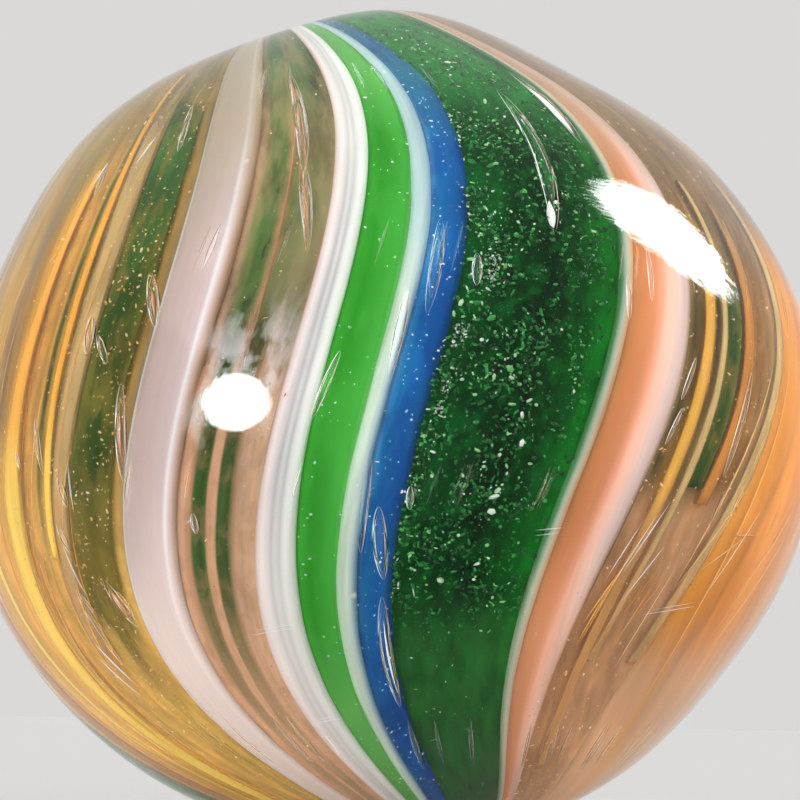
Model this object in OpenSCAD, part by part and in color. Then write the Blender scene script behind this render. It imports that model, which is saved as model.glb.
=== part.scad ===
// Swirl marble: one hand-turned ball of clear glass, with bands of coloured
// glass that run from pole to pole in its skin.
//
// The origin is the centre of the ball and +Z runs along the swirl's axis to
// the upper pole. Longitude is counted from -Y, positive towards +X. A height
// along the ball is its latitude as a share of the way to a pole: -1 at the
// lower pole, 0 at the belly, 1 at the upper pole.
//
// The bands tile the whole skin. Each is one stave of the ball's outer glass,
// bounded by two twisted walls that it shares with its neighbours, and all of
// them fuse with the clear heart into one solid.

/* [Ball] */
// Width of the ball across its belly
belly_width = 20; // [12:0.5:40]
// Height from pole to pole as a share of the width
squatness = 0.957; // [0.9:0.001:1]
// Strength of the swells and flats that hand turning left, 0 for none
unevenness = 1; // [0:0.1:1.5]

/* [Swirl] */
// Lean of the bands where they cross the belly, in degrees of turn per half ball
lean = 23; // [-60:1:60]
// Bow of the bands, which turns both halves the same way, in degrees
bow = -13; // [-40:1:40]
// Hook of the bands near the poles, which turns the halves opposite ways, in degrees
hook = -100; // [-140:1:140]
// How far the left flank's bands gather towards the front near the poles, in degrees
gather = 145; // [0:5:160]
// How far milky glass stands proud of the skin
crown = 0.04; // [0:0.01:0.1]
// Width of the slope at a proud band's edge, in degrees of longitude
slope = 1.2; // [0.5:0.1:2]
// Depth of the bands under the skin as a share of the belly's radius
band_depth = 0.12; // [0.12:0.01:0.2]

/* [Smoothness] */
// Rows of facets from pole to pole
rows = 34; // [24:2:40]
// Widest facet, in degrees of longitude
facet = 6; // [6:1:15]

/* [Hidden] */

belly_radius = belly_width / 2;
depth = band_depth * belly_radius;

// The glasses: colour, opacity, and how proud it stands as a share of the crown
clear = ["#d8cda6", 0.5, 0];
smoke = ["#a9a89e", 0.7, 0];
olive = ["#5c6a2c", 0.8, 0];
bottle = ["#0b4d1a", 1, 0.5];
grass = ["#3ca83a", 1, 1];
blue = ["#1748a6", 1, 0.8];
white = ["#f4f2ec", 1, 1];
lilac = ["#dcc6cc", 1, 1];
blush = ["#fbd6c3", 1, 1];
salmon = ["#e79c74", 1, 1];
sand = ["#d6b58e", 1, 0.5];
honey = ["#d98d2e", 1, 0.7];
amber = ["#f4b24a", 1, 1];

// The bands in order round the ball. Each has the longitude of its left edge at the
// belly, how far that edge strays from the swirl the opposite ways in the two
// halves, how far it bows to the left in both, in degrees, and its glass.
bands = [
    // left flank
    [-57, 3, 0, amber], [-53, 5, 2, smoke], [-48.4, 9, 8, amber], [-45.2, 5, 8, clear],
    [-41.5, 3, 10, honey], [-39, 3, 12, sand], [-34.9, 3, 14, olive], [-28.8, 0, 15, clear],
    // front
    [-27.2, 0, 16, lilac], [-20.3, 0, 10, clear], [-17.6, 0, 5, olive], [-13.4, 0, 3, sand],
    [-9.6, 0, 3, white], [-8.4, 0, 1, smoke], [-7.2, -1, -1, white], [-6.1, -2, -4, grass],
    [-0.3, -1.5, 0, white], [1.4, -1.5, 0, blue], [5.9, -1.8, 0, bottle], [25, 2.5, 13, smoke],
    [26, 3, 14, salmon], [30.3, 3, 26, blush], [35, 3, 38, clear],
    // right flank
    [37.1, 3, 34, amber], [39.2, 3, 36, olive], [40.2, 3, 38, sand], [41.6, 3, 40, olive],
    [44.6, 5, 44, honey], [46.8, 7, 44, clear], [51.2, 12, 44, sand], [53.6, 14, 44, honey],
    [68, 8, 30, sand],
    // back
    [82, 0, 0, amber], [89, 0, 0, clear], [98, 0, 0, grass], [108, 0, 0, white], [111, 0, 0, clear],
    [122, 0, 0, lilac], [131, 0, 0, clear], [142, 0, 0, blue], [149, 0, 0, olive], [156, 0, 0, salmon],
    [162, 0, 0, clear], [170, 0, 0, bottle], [180, 0, 0, white], [183, 0, 0, olive], [189, 0, 0, sand],
    [195, 0, 0, amber], [202, 0, 0, clear], [212, 0, 0, blush], [222, 0, 0, clear], [233, 0, 0, grass],
    [243, 0, 0, blue], [251, 0, 0, clear], [262, 0, 0, white], [265, 0, 0, bottle], [278, 0, 0, clear],
    [288, 0, 0, honey], [295, 0, 0, clear]
];

// Swells (+) and flats (-) of the skin: longitude, latitude, spread in degrees,
// and height as a share of the belly's radius
swells = [
    [0, 65, 13, 0.032], [50, 55, 13, -0.021], [75, 8, 20, 0.018],
    [80, -38, 15, -0.018], [-60, 45, 16, 0.011], [-70, 20, 15, -0.016],
    [150, 30, 18, 0.012], [200, -25, 16, -0.014], [180, 65, 14, -0.014]
];

function total(v, i = 0) = i < len(v) ? v[i] + total(v, i + 1) : 0;

// Height of a row along the ball
function height(row) = -1 + 2 * row / rows;

// How far the swirl has turned at a height along the ball
function sway(h) = lean * h + bow * pow(h, 2) + hook * pow(h, 3);

// Unit vector towards a longitude and latitude
function way(lon, lat) = [cos(lat) * sin(lon), -cos(lat) * cos(lon), sin(lat)];

// Height of one swell in a direction
function swell(s, w) = s[3] * exp(-pow(acos(min(1, w * way(s[0], s[1]))) / s[2], 2));

// Point of the skin at a longitude and a height, proud of it by rise
function skin(lon, h, rise = 0) =
    let (
        w = way(lon, 90 * h),
        uneven = unevenness * total([for (s = swells) swell(s, w)]),
        reach = belly_radius * (1 + uneven) + rise
    )
    [reach * w.x, reach * w.y, reach * w.z * squatness];

// How far a band at a longitude has gathered towards the front at a height
function gathered(lon, h) = gather * max(0, -sin(lon)) * pow(h, 4) * (1 - h * h) * (1 + h / 2);

// Longitude of a band's left edge at a height. The first band follows the last.
function edge(k, h) =
    let (b = bands[k % len(bands)], lon = b[0] + (b[1] * h - b[2] * h * h) * (1 - h * h))
    lon + gathered(lon, h) + sway(h);

// Width of a band at a height, in degrees
function width(k, h) = (edge(k + 1, h) - edge(k, h) + 360) % 360;

// Longitude inside a band. Its right edge is the next band's left edge exactly,
// so that neighbours share their walls.
function across(k, u, h) = u == 1 ? edge(k + 1, h) : edge(k, h) + u * width(k, h);

// Where a band's columns of points stand between its edges, as shares of its
// width: a proud band slopes up inside each edge, and a flush one is even
function columns(k, proud) =
    let (
        inset = proud ? min(slope / width(k, 0), 0.5) : 0,
        flat = 1 - 2 * inset,
        steps = ceil(flat * width(k, 0) / facet)
    )
    flat <= 0 ? [0, 0.5, 1]
        : concat(
            proud ? [0] : [],
            [for (i = [0:steps]) inset + flat * i / steps],
            proud ? [1] : []
        );

// Faces of a wall that joins two columns of points, outer and inner, which start
// at points a and b and go up by n a row. The wall faces right, or left if flipped.
function wall(a, b, n, flipped) = [
    for (row = [0:rows - 3])
        let (p = a + n * row, q = b + n * row)
        each flipped ? [[p, q, p + n], [p + n, q, q + n]] : [[p, p + n, q], [p + n, q + n, q]]
];

// Faces of a sheet of rows - 1 rows of n points from point a, closed at the poles
function sheet(a, n, south, north) = concat(
    [for (p = [a:a + n * (rows - 2) - 1]) if ((p - a) % n < n - 1)
        each [[p, p + n, p + 1], [p + 1, p + n, p + n + 1]]],
    [for (i = [a:a + n - 2]) [south, i, i + 1]],
    [for (i = [a + n * (rows - 2):a + n * (rows - 1) - 2]) [north, i + 1, i]]
);

function reversed(faces) = [for (f = faces) [f[0], f[2], f[1]]];

// One band, as a curved stave of the ball's outer glass
module stave(k) {
    glass = bands[k][3];
    proud = crown * glass[2];
    shares = columns(k, proud > 0);
    n = len(shares);
    points = concat(
        // the skin, row by row, then the stave's inner side
        [for (row = [1:rows - 1], u = shares)
            let (h = height(row), inside = u > 0 && u < 1 ? 1 - pow(h, 4) : 0)
            skin(across(k, u, h), h, proud * inside)],
        [for (row = [1:rows - 1], u = shares)
            let (h = height(row))
            skin(across(k, u, h), h, -depth)],
        // the poles of each
        [skin(0, -1), skin(0, 1), skin(0, -1, -depth), skin(0, 1, -depth)]
    );
    inner = n * (rows - 1);
    pole = 2 * inner;
    top = inner - n;
    faces = concat(
        sheet(0, n, pole, pole + 1),
        reversed(sheet(inner, n, pole + 2, pole + 3)),
        wall(0, inner, n, true),
        wall(n - 1, inner + n - 1, n, false),
        // the walls' ends at the poles
        [[pole, pole + 2, 0], [0, pole + 2, inner]],
        [[pole, n - 1, pole + 2], [n - 1, inner + n - 1, pole + 2]],
        [[top, inner + top, pole + 1], [pole + 1, inner + top, pole + 3]],
        [[top + n - 1, pole + 1, inner + top + n - 1], [pole + 1, pole + 3, inner + top + n - 1]]
    );
    color(glass[0], glass[1]) polyhedron(points, faces, convexity = 4);
}

// The clear glass inside, which every stave is fused to
module heart() {
    color(clear[0], clear[1])
        scale([1, 1, squatness]) sphere(r = belly_radius - depth / 2, $fn = 48);
}

// The swells change the width a little, so the whole ball is brought to its width
module marble() {
    resize([belly_width, 0, 0], auto = true) {
        heart();
        for (k = [0:len(bands) - 1]) stave(k);
    }
}

marble();
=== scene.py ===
import logging
import math
from dataclasses import dataclass, field, fields
from enum import Enum
from typing import NamedTuple

import bpy
from mathutils import Matrix, Vector


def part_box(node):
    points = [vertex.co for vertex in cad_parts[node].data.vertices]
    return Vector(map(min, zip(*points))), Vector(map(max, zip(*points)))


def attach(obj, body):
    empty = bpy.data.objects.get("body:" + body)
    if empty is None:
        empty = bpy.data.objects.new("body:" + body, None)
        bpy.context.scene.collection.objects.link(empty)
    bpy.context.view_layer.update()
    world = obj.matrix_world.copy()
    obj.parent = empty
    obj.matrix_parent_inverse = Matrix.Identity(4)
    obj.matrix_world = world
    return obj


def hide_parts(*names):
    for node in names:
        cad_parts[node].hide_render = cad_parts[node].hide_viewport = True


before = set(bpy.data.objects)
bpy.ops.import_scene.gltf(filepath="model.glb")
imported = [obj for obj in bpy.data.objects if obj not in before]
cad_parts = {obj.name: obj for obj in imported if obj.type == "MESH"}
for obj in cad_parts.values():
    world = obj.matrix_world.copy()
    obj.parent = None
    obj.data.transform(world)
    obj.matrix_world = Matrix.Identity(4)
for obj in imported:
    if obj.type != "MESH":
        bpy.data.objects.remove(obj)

LOG = logging.getLogger("marble")
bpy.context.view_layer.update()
NODE = "marble"
MM = 0.001
# The size of the frame that the camera's pixels are counted in
FRAME_PX = 800
WHITE = (1.0, 1.0, 1.0, 1.0)

Socket = bpy.types.NodeSocket
Tree = bpy.types.NodeTree
# Places from 0 to 1, or longitudes, and the colour at each
Stops = tuple[tuple[float, str], ...]


class Slot(Enum):
    """The record's material slots."""

    CLEAR = "clear_glass"
    WHITE = "white_glass"
    GREY = "grey_glass"
    GREEN = "green_glass"
    BLUE = "blue_glass"
    BOTTLE = "bottle_glass"
    LILAC = "lilac_glass"
    SALMON = "salmon_glass"
    AMBER = "amber_glass"
    OLIVE = "olive_glass"


def linear(code: str) -> tuple[float, float, float, float]:
    """Turns a colour as it looks on a screen into the linear one that shaders use.

    Args:
        code: the colour as six hexadecimal digits.

    Returns:
        Red, green, blue and an alpha of 1.
    """
    parts = [int(code[i : i + 2], 16) / 255 for i in (0, 2, 4)]
    red, green, blue = (c / 12.92 if c <= 0.04045 else ((c + 0.055) / 1.055) ** 2.4 for c in parts)
    return (red, green, blue, 1.0)


class Maker:
    """Adds nodes to a tree and links them, one call a node."""

    def __init__(self, tree: Tree) -> None:
        """Keeps the tree that the nodes go into."""
        self.tree = tree

    def add(self, kind: str, values: dict | None = None, **settings: object) -> bpy.types.Node:
        """Adds a node, sets it up and feeds its inputs.

        Args:
            kind: the node's type.
            values: a plain value or an output socket for each input, by name or index.
            settings: the node's own properties.

        Returns:
            The new node.
        """
        node = self.tree.nodes.new(kind)
        for name, setting in settings.items():
            setattr(node, name, setting)
        for key, value in (values or {}).items():
            self.feed(node.inputs[key], value)
        return node

    def feed(self, socket: Socket, value: object) -> None:
        """Links an output to an input, or sets the input's plain value.

        Args:
            socket: the input.
            value: an output socket or a plain value.
        """
        if isinstance(value, Socket):
            self.tree.links.new(value, socket)
        else:
            socket.default_value = value

    def math(self, operation: str, *values: object, clamp: bool = False) -> Socket:
        """Adds a Math node and returns its result."""
        node = self.add("ShaderNodeMath", dict(enumerate(values)), operation=operation, use_clamp=clamp)
        return node.outputs[0]

    def plus(self, first: object, second: object) -> Socket:
        """Returns the sum of two numbers."""
        return self.math("ADD", first, second)

    def minus(self, first: object, second: object) -> Socket:
        """Returns the first number less the second."""
        return self.math("SUBTRACT", first, second)

    def times(self, *factors: object) -> Socket:
        """Returns the product of two or more numbers.

        Args:
            factors: the numbers, plain or as sockets.

        Returns:
            The socket of the product.
        """
        product, *rest = factors
        for factor in rest:
            product = self.math("MULTIPLY", product, factor)
        return product

    def fused(self, first: object, second: object, more: object) -> Socket:
        """Returns the product of two numbers, plus a third."""
        return self.math("MULTIPLY_ADD", first, second, more)

    def around(self, value: object, by: object, middle: object) -> Socket:
        """Returns a number near middle: how far a value is from a half, times by, plus middle."""
        return self.fused(self.minus(value, 0.5), by, middle)

    def vector(self, operation: str, *values: object) -> Socket:
        """Adds a Vector Math node and returns its result, a number where it gives one."""
        node = self.add("ShaderNodeVectorMath", dict(enumerate(values)), operation=operation)
        return node.outputs["Value" if operation in ("DOT_PRODUCT", "LENGTH") else "Vector"]

    def scaled(self, vector: object, by: object) -> Socket:
        """Returns a vector times a number."""
        node = self.add("ShaderNodeVectorMath", {0: vector, "Scale": by}, operation="SCALE")
        return node.outputs["Vector"]

    def combine(self, x: object, y: object, z: object) -> Socket:
        """Returns a vector made of three numbers."""
        return self.add("ShaderNodeCombineXYZ", {0: x, 1: y, 2: z}).outputs[0]

    def separate(self, vector: object) -> list[Socket]:
        """Returns the three numbers of a vector."""
        return list(self.add("ShaderNodeSeparateXYZ", {0: vector}).outputs)

    def span(self, value: object, low: object, high: object) -> Socket:
        """Returns how far a value has come from low to high, from 0 to 1, with soft ends."""
        given = {"Value": value, 1: low, 2: high}
        return self.add("ShaderNodeMapRange", given, interpolation_type="SMOOTHSTEP").outputs[0]

    def blend(self, share: object, first: object, second: object) -> Socket:
        """Returns a colour between two others."""
        return self.add("ShaderNodeMix", {0: share, 6: first, 7: second}, data_type="RGBA").outputs[2]

    def ramp(self, value: object, colours: Stops) -> Socket:
        """Returns the colour of a ramp at a value.

        Args:
            value: the place on the ramp, from 0 to 1.
            colours: the ramp's stops.

        Returns:
            The socket of the colour.
        """
        ramp = self.add("ShaderNodeValToRGB", {0: value})
        stops = ramp.color_ramp.elements
        while len(stops) < len(colours):
            stops.new(0.5)
        for stop, (place, colour) in zip(stops, colours, strict=True):
            stop.position = place
            stop.color = linear(colour)
        return ramp.outputs[0]

    def noise(self, place: object, scale: object, detail: float = 2.0, roughness: float = 0.5) -> Socket:
        """Returns a cloudy pattern from 0 to 1 round a half."""
        given = {"Vector": place, "Scale": scale, "Detail": detail, "Roughness": roughness}
        return self.add("ShaderNodeTexNoise", given).outputs[0]

    def drawn(self) -> Socket:
        """Returns the place in glass that isn't twisted yet, which the shape has stored."""
        return self.add("ShaderNodeAttribute", attribute_name="drawn").outputs["Vector"]

    def chance(self, seed: object, turn: int, low: object = 0.0, high: object = 1.0) -> Socket:
        """Returns a random number for each point.

        Args:
            seed: the tree's seed.
            turn: what is added to the seed, so that each trait has numbers of its own.
            low: the lowest number.
            high: the highest number.

        Returns:
            The socket of the numbers.
        """
        ids = self.add("GeometryNodeInputIndex").outputs[0]
        own = self.plus(seed, float(turn))
        node = self.add("FunctionNodeRandomValue", {2: low, 3: high, 7: ids, 8: own}, data_type="FLOAT")
        return node.outputs[1]

    def store(
        self, shape: object, name: str, value: object, kind: str = "FLOAT", domain: str = "POINT"
    ) -> Socket:
        """Stores a value on a shape under a name and returns the shape."""
        given = {"Geometry": shape, "Name": name, "Value": value}
        return self.add("GeometryNodeStoreNamedAttribute", given, data_type=kind, domain=domain).outputs[0]

    def placed(self, shape: object, place: object) -> Socket:
        """Moves a shape's points to a place and returns the shape."""
        return self.add("GeometryNodeSetPosition", {"Geometry": shape, "Position": place}).outputs[0]

    def closed(self, shape: object, gap: float) -> Socket:
        """Joins the points that lie within a gap of each other and returns the shape."""
        return self.add("GeometryNodeMergeByDistance", {"Geometry": shape, "Distance": gap}).outputs[0]

    def group(self, tree: Tree, values: dict) -> bpy.types.Node:
        """Places a node group of either kind and feeds its inputs."""
        kind = "ShaderNodeGroup" if tree.bl_idname == "ShaderNodeTree" else "GeometryNodeGroup"
        return self.add(kind, values, node_tree=tree)

    def finish(self, out: bpy.types.Node, shape: object, material: object) -> Tree:
        """Ends a tree with smooth shading, Realize Instances and Set Material.

        Args:
            out: the tree's output node.
            shape: the shape.
            material: the material that it wears.

        Returns:
            The tree.
        """
        smooth = self.add("GeometryNodeSetShadeSmooth", {"Geometry": shape})
        real = self.add("GeometryNodeRealizeInstances", {"Geometry": smooth.outputs[0]})
        dressed = self.add("GeometryNodeSetMaterial", {"Geometry": real.outputs[0], "Material": material})
        self.feed(out.inputs["Geometry"], dressed.outputs[0])
        return self.tree


def cleared(owner: bpy.types.ID) -> Maker:
    """Empties the node tree of a material, a lamp or a world and returns its maker.

    Args:
        owner: the material, lamp or world.

    Returns:
        The maker for its tree.
    """
    owner.use_nodes = True
    owner.node_tree.nodes.clear()
    return Maker(owner.node_tree)


def new_tree(name: str, kind: str, inputs: dict, outputs: dict) -> tuple[Maker, dict, bpy.types.Node]:
    """Starts a node tree with named inputs and outputs.

    Args:
        name: the tree's name.
        kind: Geometry or Shader.
        inputs: for each input's name, its plain value, or the name of its socket's type.
        outputs: a socket's type for each output's name.

    Returns:
        The maker for the tree, its input sockets by name, and its output node.
    """
    tree = bpy.data.node_groups.new(name, f"{kind}NodeTree")
    for label, value in inputs.items():
        plain = {int: "Int", float: "Float"}.get(type(value))
        socket_type = f"NodeSocket{plain or value}"
        item = tree.interface.new_socket(name=label, in_out="INPUT", socket_type=socket_type)
        if plain:
            item.default_value = value
    for label, socket_type in outputs.items():
        tree.interface.new_socket(name=label, in_out="OUTPUT", socket_type=f"NodeSocket{socket_type}")
    maker = Maker(tree)
    source = maker.add("NodeGroupInput")
    sockets = {label: source.outputs[label] for label in inputs}
    return maker, sockets, maker.add("NodeGroupOutput")


class Edge(NamedTuple):
    """An edge of a band, in degrees.

    It has its longitude at the belly, how far it strays from the swirl the opposite
    ways in the two halves, and how far it bows to the left in both.
    """

    longitude: float
    stray: float = 0.0
    bow: float = 0.0

    @staticmethod
    def at(make: Maker, given: dict, side: str, height: object) -> Socket:
        """Finds the longitude of an edge at a height along the ball.

        Args:
            make: the maker of the tree.
            given: the tree's inputs.
            side: which edge, Left or Right.
            height: the height.

        Returns:
            The socket of the longitude, in degrees.
        """
        square = make.times(height, height)
        bowed = make.times(given[f"{side} bow"], square)
        pull = make.minus(make.times(given[f"{side} stray"], height), bowed)
        return make.fused(pull, make.minus(1.0, square), given[side])


class Part:
    """What one run of a tree makes. Its lengths are in millimetres."""

    LENGTHS = ("depth", "spread", "size", "radius")

    def inputs(self) -> dict[str, float]:
        """Names the tree's inputs after the part's fields, with lengths in metres.

        Returns:
            The value of each input by its name.
        """
        values = {}
        for trait in fields(self):
            value, name = getattr(self, trait.name), trait.name.capitalize()
            if isinstance(value, Edge):
                values |= dict(zip((name, f"{name} stray", f"{name} bow"), value, strict=True))
            else:
                values[name] = value * MM if trait.name in self.LENGTHS else value
        return values

    def wall(self) -> float:
        """Returns how thick its sheets are made, in metres, or 0 where it has none."""
        return 0.0

    def start_tree(self, name: str) -> tuple[Maker, dict, bpy.types.Node]:
        """Starts the tree for parts like this one, whose values become the defaults."""
        given = {**self.inputs(), "Material": "Material"}
        return new_tree(name, "Geometry", given, {"Geometry": "Geometry"})


@dataclass(frozen=True)
class Swell:
    """A swell or a flat that hand turning left in the skin."""

    longitude: float
    latitude: float
    spread: float
    height: float

    def way(self) -> tuple[float, float, float]:
        """Returns the unit vector from the centre towards it."""
        lon, lat = math.radians(self.longitude), math.radians(self.latitude)
        return (math.cos(lat) * math.sin(lon), -math.cos(lat) * math.cos(lon), math.sin(lat))


@dataclass
class Ball:
    """The form of the ball and the twist that all its bands follow.

    Longitude is counted from -Y, positive towards +X. A height along the ball is its
    latitude as a share of the way to a pole, from -1 to 1.
    """

    squatness: float = 0.957
    lean: float = 23.0
    bow: float = -13.0
    hook: float = -100.0
    # How far the left flank's bands gather towards the front near the poles
    gather: float = 145.0
    swells: tuple[Swell, ...] = (
        Swell(0, 65, 13, 0.032), Swell(50, 55, 13, -0.021), Swell(75, 8, 20, 0.018),
        Swell(80, -38, 15, -0.018), Swell(-60, 45, 16, 0.011), Swell(-70, 20, 15, -0.016),
        Swell(150, 30, 18, 0.012), Swell(200, -25, 16, -0.014), Swell(180, 65, 14, -0.014),
    )
    radius: float = field(init=False)
    way_tree: Tree = field(init=False)
    skin_tree: Tree = field(init=False)

    def __post_init__(self) -> None:
        """Fits the ball to the height of the CAD node and builds the node groups."""
        low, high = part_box(NODE)
        self.radius = (high.z - low.z) / (2 * self.squatness * self.top_reach())
        self.way_tree = self.build_way()
        self.skin_tree = self.build_skin()

    def top_reach(self) -> float:
        """Returns how far the skin reaches out at the upper pole, as a share of the radius.

        Returns:
            The reach, which is 1 where no swell or flat comes near the pole.
        """
        pole = Vector(Swell(0, 90, 1, 0).way())
        turns = [math.degrees(pole.angle(Vector(swell.way()))) / swell.spread for swell in self.swells]
        return 1 + sum(s.height * math.exp(-(turn**2)) for s, turn in zip(self.swells, turns, strict=True))

    def sway(self, make: Maker, height: object, given: dict, longitude: object = 0.0) -> Socket:
        """Returns a longitude that the swirl has turned, at a height along the ball."""
        inner = make.fused(height, given["Hook"], given["Bow"])
        return make.fused(make.fused(inner, height, given["Lean"]), height, longitude)

    def build_way(self) -> Tree:
        """Builds the group that turns a place on the untwisted ball into a direction.

        Returns:
            The group. It also puts out Drawn, the place in millimetres in glass that
            isn't twisted yet, which patterns that are drawn out along the bands read.
        """
        twist = {"Lean": self.lean, "Bow": self.bow, "Hook": self.hook, "Gather": self.gather}
        make, given, out = new_tree(
            "swirl_way",
            "Geometry",
            {"Longitude": 0.0, "Height": 0.0, **twist},
            {"Way": "Vector", "Drawn": "Vector"},
        )
        height = given["Height"]
        swayed = self.sway(make, height, given, given["Longitude"])
        plain = make.math("RADIANS", given["Longitude"])
        square = make.times(height, height)
        late = make.times(make.times(square, square), make.minus(1.0, square), make.fused(height, 0.5, 1.0))
        flank = make.math("MAXIMUM", make.times(make.math("SINE", plain), -1.0), 0.0)
        lon = make.math("RADIANS", make.plus(swayed, make.times(late, flank, given["Gather"])))
        lat = make.times(height, math.pi / 2)
        across = make.math("COSINE", lat)
        x = make.times(across, make.math("SINE", lon))
        y = make.times(across, make.math("COSINE", lon), -1.0)
        around = self.radius / MM
        east = make.times(make.math("SINE", plain), around)
        south = make.times(make.math("COSINE", plain), -around)
        make.feed(out.inputs["Way"], make.combine(x, y, make.math("SINE", lat)))
        make.feed(out.inputs["Drawn"], make.combine(east, south, make.times(lat, around)))
        return make.tree

    def build_skin(self) -> Tree:
        """Builds the group that gives the point at a depth under the skin in a direction.

        Returns:
            The group.
        """
        make, given, out = new_tree(
            "skin_point",
            "Geometry",
            {"Way": "Vector", "Depth": 0.0, "Radius": self.radius},
            {"Position": "Vector"},
        )
        bulge: object = 1.0
        for swell in self.swells:
            near = make.vector("DOT_PRODUCT", given["Way"], swell.way())
            angle = make.math("ARCCOSINE", make.math("MINIMUM", near, 1.0))
            share = make.math("DIVIDE", angle, math.radians(swell.spread))
            fall = make.math("EXPONENT", make.times(share, share, -1.0))
            bulge = make.fused(fall, swell.height, bulge)
        reach = make.minus(make.times(bulge, given["Radius"]), given["Depth"])
        place = make.vector("MULTIPLY", make.scaled(given["Way"], reach), (1.0, 1.0, self.squatness))
        make.feed(out.inputs["Position"], place)
        return make.tree

    def place(self, make: Maker, longitude: object, height: object, depth: object) -> tuple:
        """Adds both groups to a tree.

        Args:
            make: the maker of the tree.
            longitude: the longitude on the untwisted ball, in degrees.
            height: the height along the ball.
            depth: the depth under the skin, in metres.

        Returns:
            The position and the Drawn vector.
        """
        way = make.group(self.way_tree, {"Longitude": longitude, "Height": height})
        skin = make.group(self.skin_tree, {"Way": way.outputs["Way"], "Depth": depth})
        return skin.outputs["Position"], way.outputs["Drawn"]


def grown(name: str, tree: Tree, values: dict, wall: float = 0.0) -> bpy.types.Object:
    """Runs a Geometry Nodes tree and keeps its result as a plain mesh.

    Args:
        name: the new object's name.
        tree: the tree to run.
        values: the tree's inputs by name.
        wall: how thick a sheet is made, in metres, inwards from it.

    Returns:
        The object, at the origin, with no modifier left.
    """
    thing = bpy.data.objects.new(name, bpy.data.meshes.new(name))
    bpy.context.scene.collection.objects.link(thing)
    grow = thing.modifiers.new("grow", "NODES")
    grow.node_group = tree
    for item in tree.interface.items_tree:
        if item.in_out == "INPUT" and item.name in values:
            grow[item.identifier] = values[item.name]
    if wall > 0:
        solid = thing.modifiers.new("wall", "SOLIDIFY")
        solid.thickness = wall
        solid.offset = -1.0
    ready = thing.evaluated_get(bpy.context.evaluated_depsgraph_get())
    mesh = bpy.data.meshes.new_from_object(ready)
    thing.modifiers.clear()
    empty, thing.data = thing.data, mesh
    bpy.data.meshes.remove(empty)
    mesh.name = name
    return thing


def joined(name: str, things: list[bpy.types.Object]) -> bpy.types.Object:
    """Makes one object of several.

    Args:
        name: the name of the result.
        things: the objects, of which the first takes up the rest.

    Returns:
        The object.
    """
    with bpy.context.temp_override(active_object=things[0], selected_editable_objects=things):
        bpy.ops.object.join()
    things[0].name = name
    things[0].data.name = name
    return things[0]


def keep(thing: bpy.types.Object, slot: Slot, *nodes: str) -> None:
    """Puts a finished piece on the ball's body, hides the nodes that it replaces and logs its slot.

    Args:
        thing: the piece.
        slot: the slot of its glass.
        nodes: the nodes that it replaces, if any.
    """
    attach(thing, "root")
    if nodes:
        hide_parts(*nodes)
    LOG.info("%s: %d faces, slot %s", thing.name, len(thing.data.polygons), slot.value)


@dataclass(frozen=True)
class Patterns:
    """Node groups that several glasses share."""

    streaks: Tree
    specks: Tree

    @staticmethod
    def build() -> "Patterns":
        """Builds the groups once."""
        return Patterns(Patterns.build_streaks(), Patterns.build_specks())

    @staticmethod
    def build_streaks() -> Tree:
        """Builds fine lines that are drawn out along the bands, from 0 to 1 round 0.5.

        Returns:
            The group.
        """
        make, given, out = new_tree(
            "drawn_streaks",
            "Shader",
            {"Drawn": "Vector", "Fineness": 4.0, "Stretch": 14.0, "Seed": 0.0},
            {"Value": "Float"},
        )
        x, y, z = make.separate(given["Drawn"])
        along = make.math("DIVIDE", z, given["Stretch"])
        place = make.combine(x, y, make.plus(along, given["Seed"]))
        make.feed(out.inputs["Value"], make.noise(place, given["Fineness"], 3.0, 0.6))
        return make.tree

    @staticmethod
    def build_specks() -> Tree:
        """Builds tiny dots, some of the cells of a scatter, 1 inside a dot and 0 outside.

        Returns:
            The group.
        """
        make, given, out = new_tree(
            "specks",
            "Shader",
            {"Drawn": "Vector", "Fineness": 3.0, "Share": 0.2, "Size": 0.2},
            {"Value": "Float"},
        )
        cells = make.add("ShaderNodeTexVoronoi", {"Vector": given["Drawn"], "Scale": given["Fineness"]})
        chosen = make.math("LESS_THAN", make.separate(cells.outputs["Color"])[0], given["Share"])
        inside = make.minus(1.0, make.span(cells.outputs["Distance"], 0.0, given["Size"]))
        make.feed(out.inputs["Value"], make.times(chosen, inside))
        return make.tree

    def lines(self, make: Maker, fineness: float, stretch: float, seed: float) -> Socket:
        """Adds fine lines to a material and returns them."""
        given = {"Drawn": make.drawn(), "Fineness": fineness, "Stretch": stretch, "Seed": seed}
        return make.group(self.streaks, given).outputs[0]


@dataclass(frozen=True)
class Glass:
    """A glass: its material's name and the record's slot for it."""

    name: str
    slot: Slot

    def material(self, shared: Patterns) -> bpy.types.Material:
        """Builds the material.

        Args:
            shared: the node groups that glasses share.

        Returns:
            The material.
        """
        material = bpy.data.materials.new(self.name)
        make = cleared(material)
        make.add("ShaderNodeOutputMaterial", self.shade(make, shared))
        return material

    def shade(self, make: Maker, shared: Patterns) -> dict[str, Socket]:
        """Adds the material's nodes.

        Args:
            make: the maker of its tree.
            shared: the node groups that glasses share.

        Returns:
            What goes to each input of the material's output.
        """
        raise NotImplementedError


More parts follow.
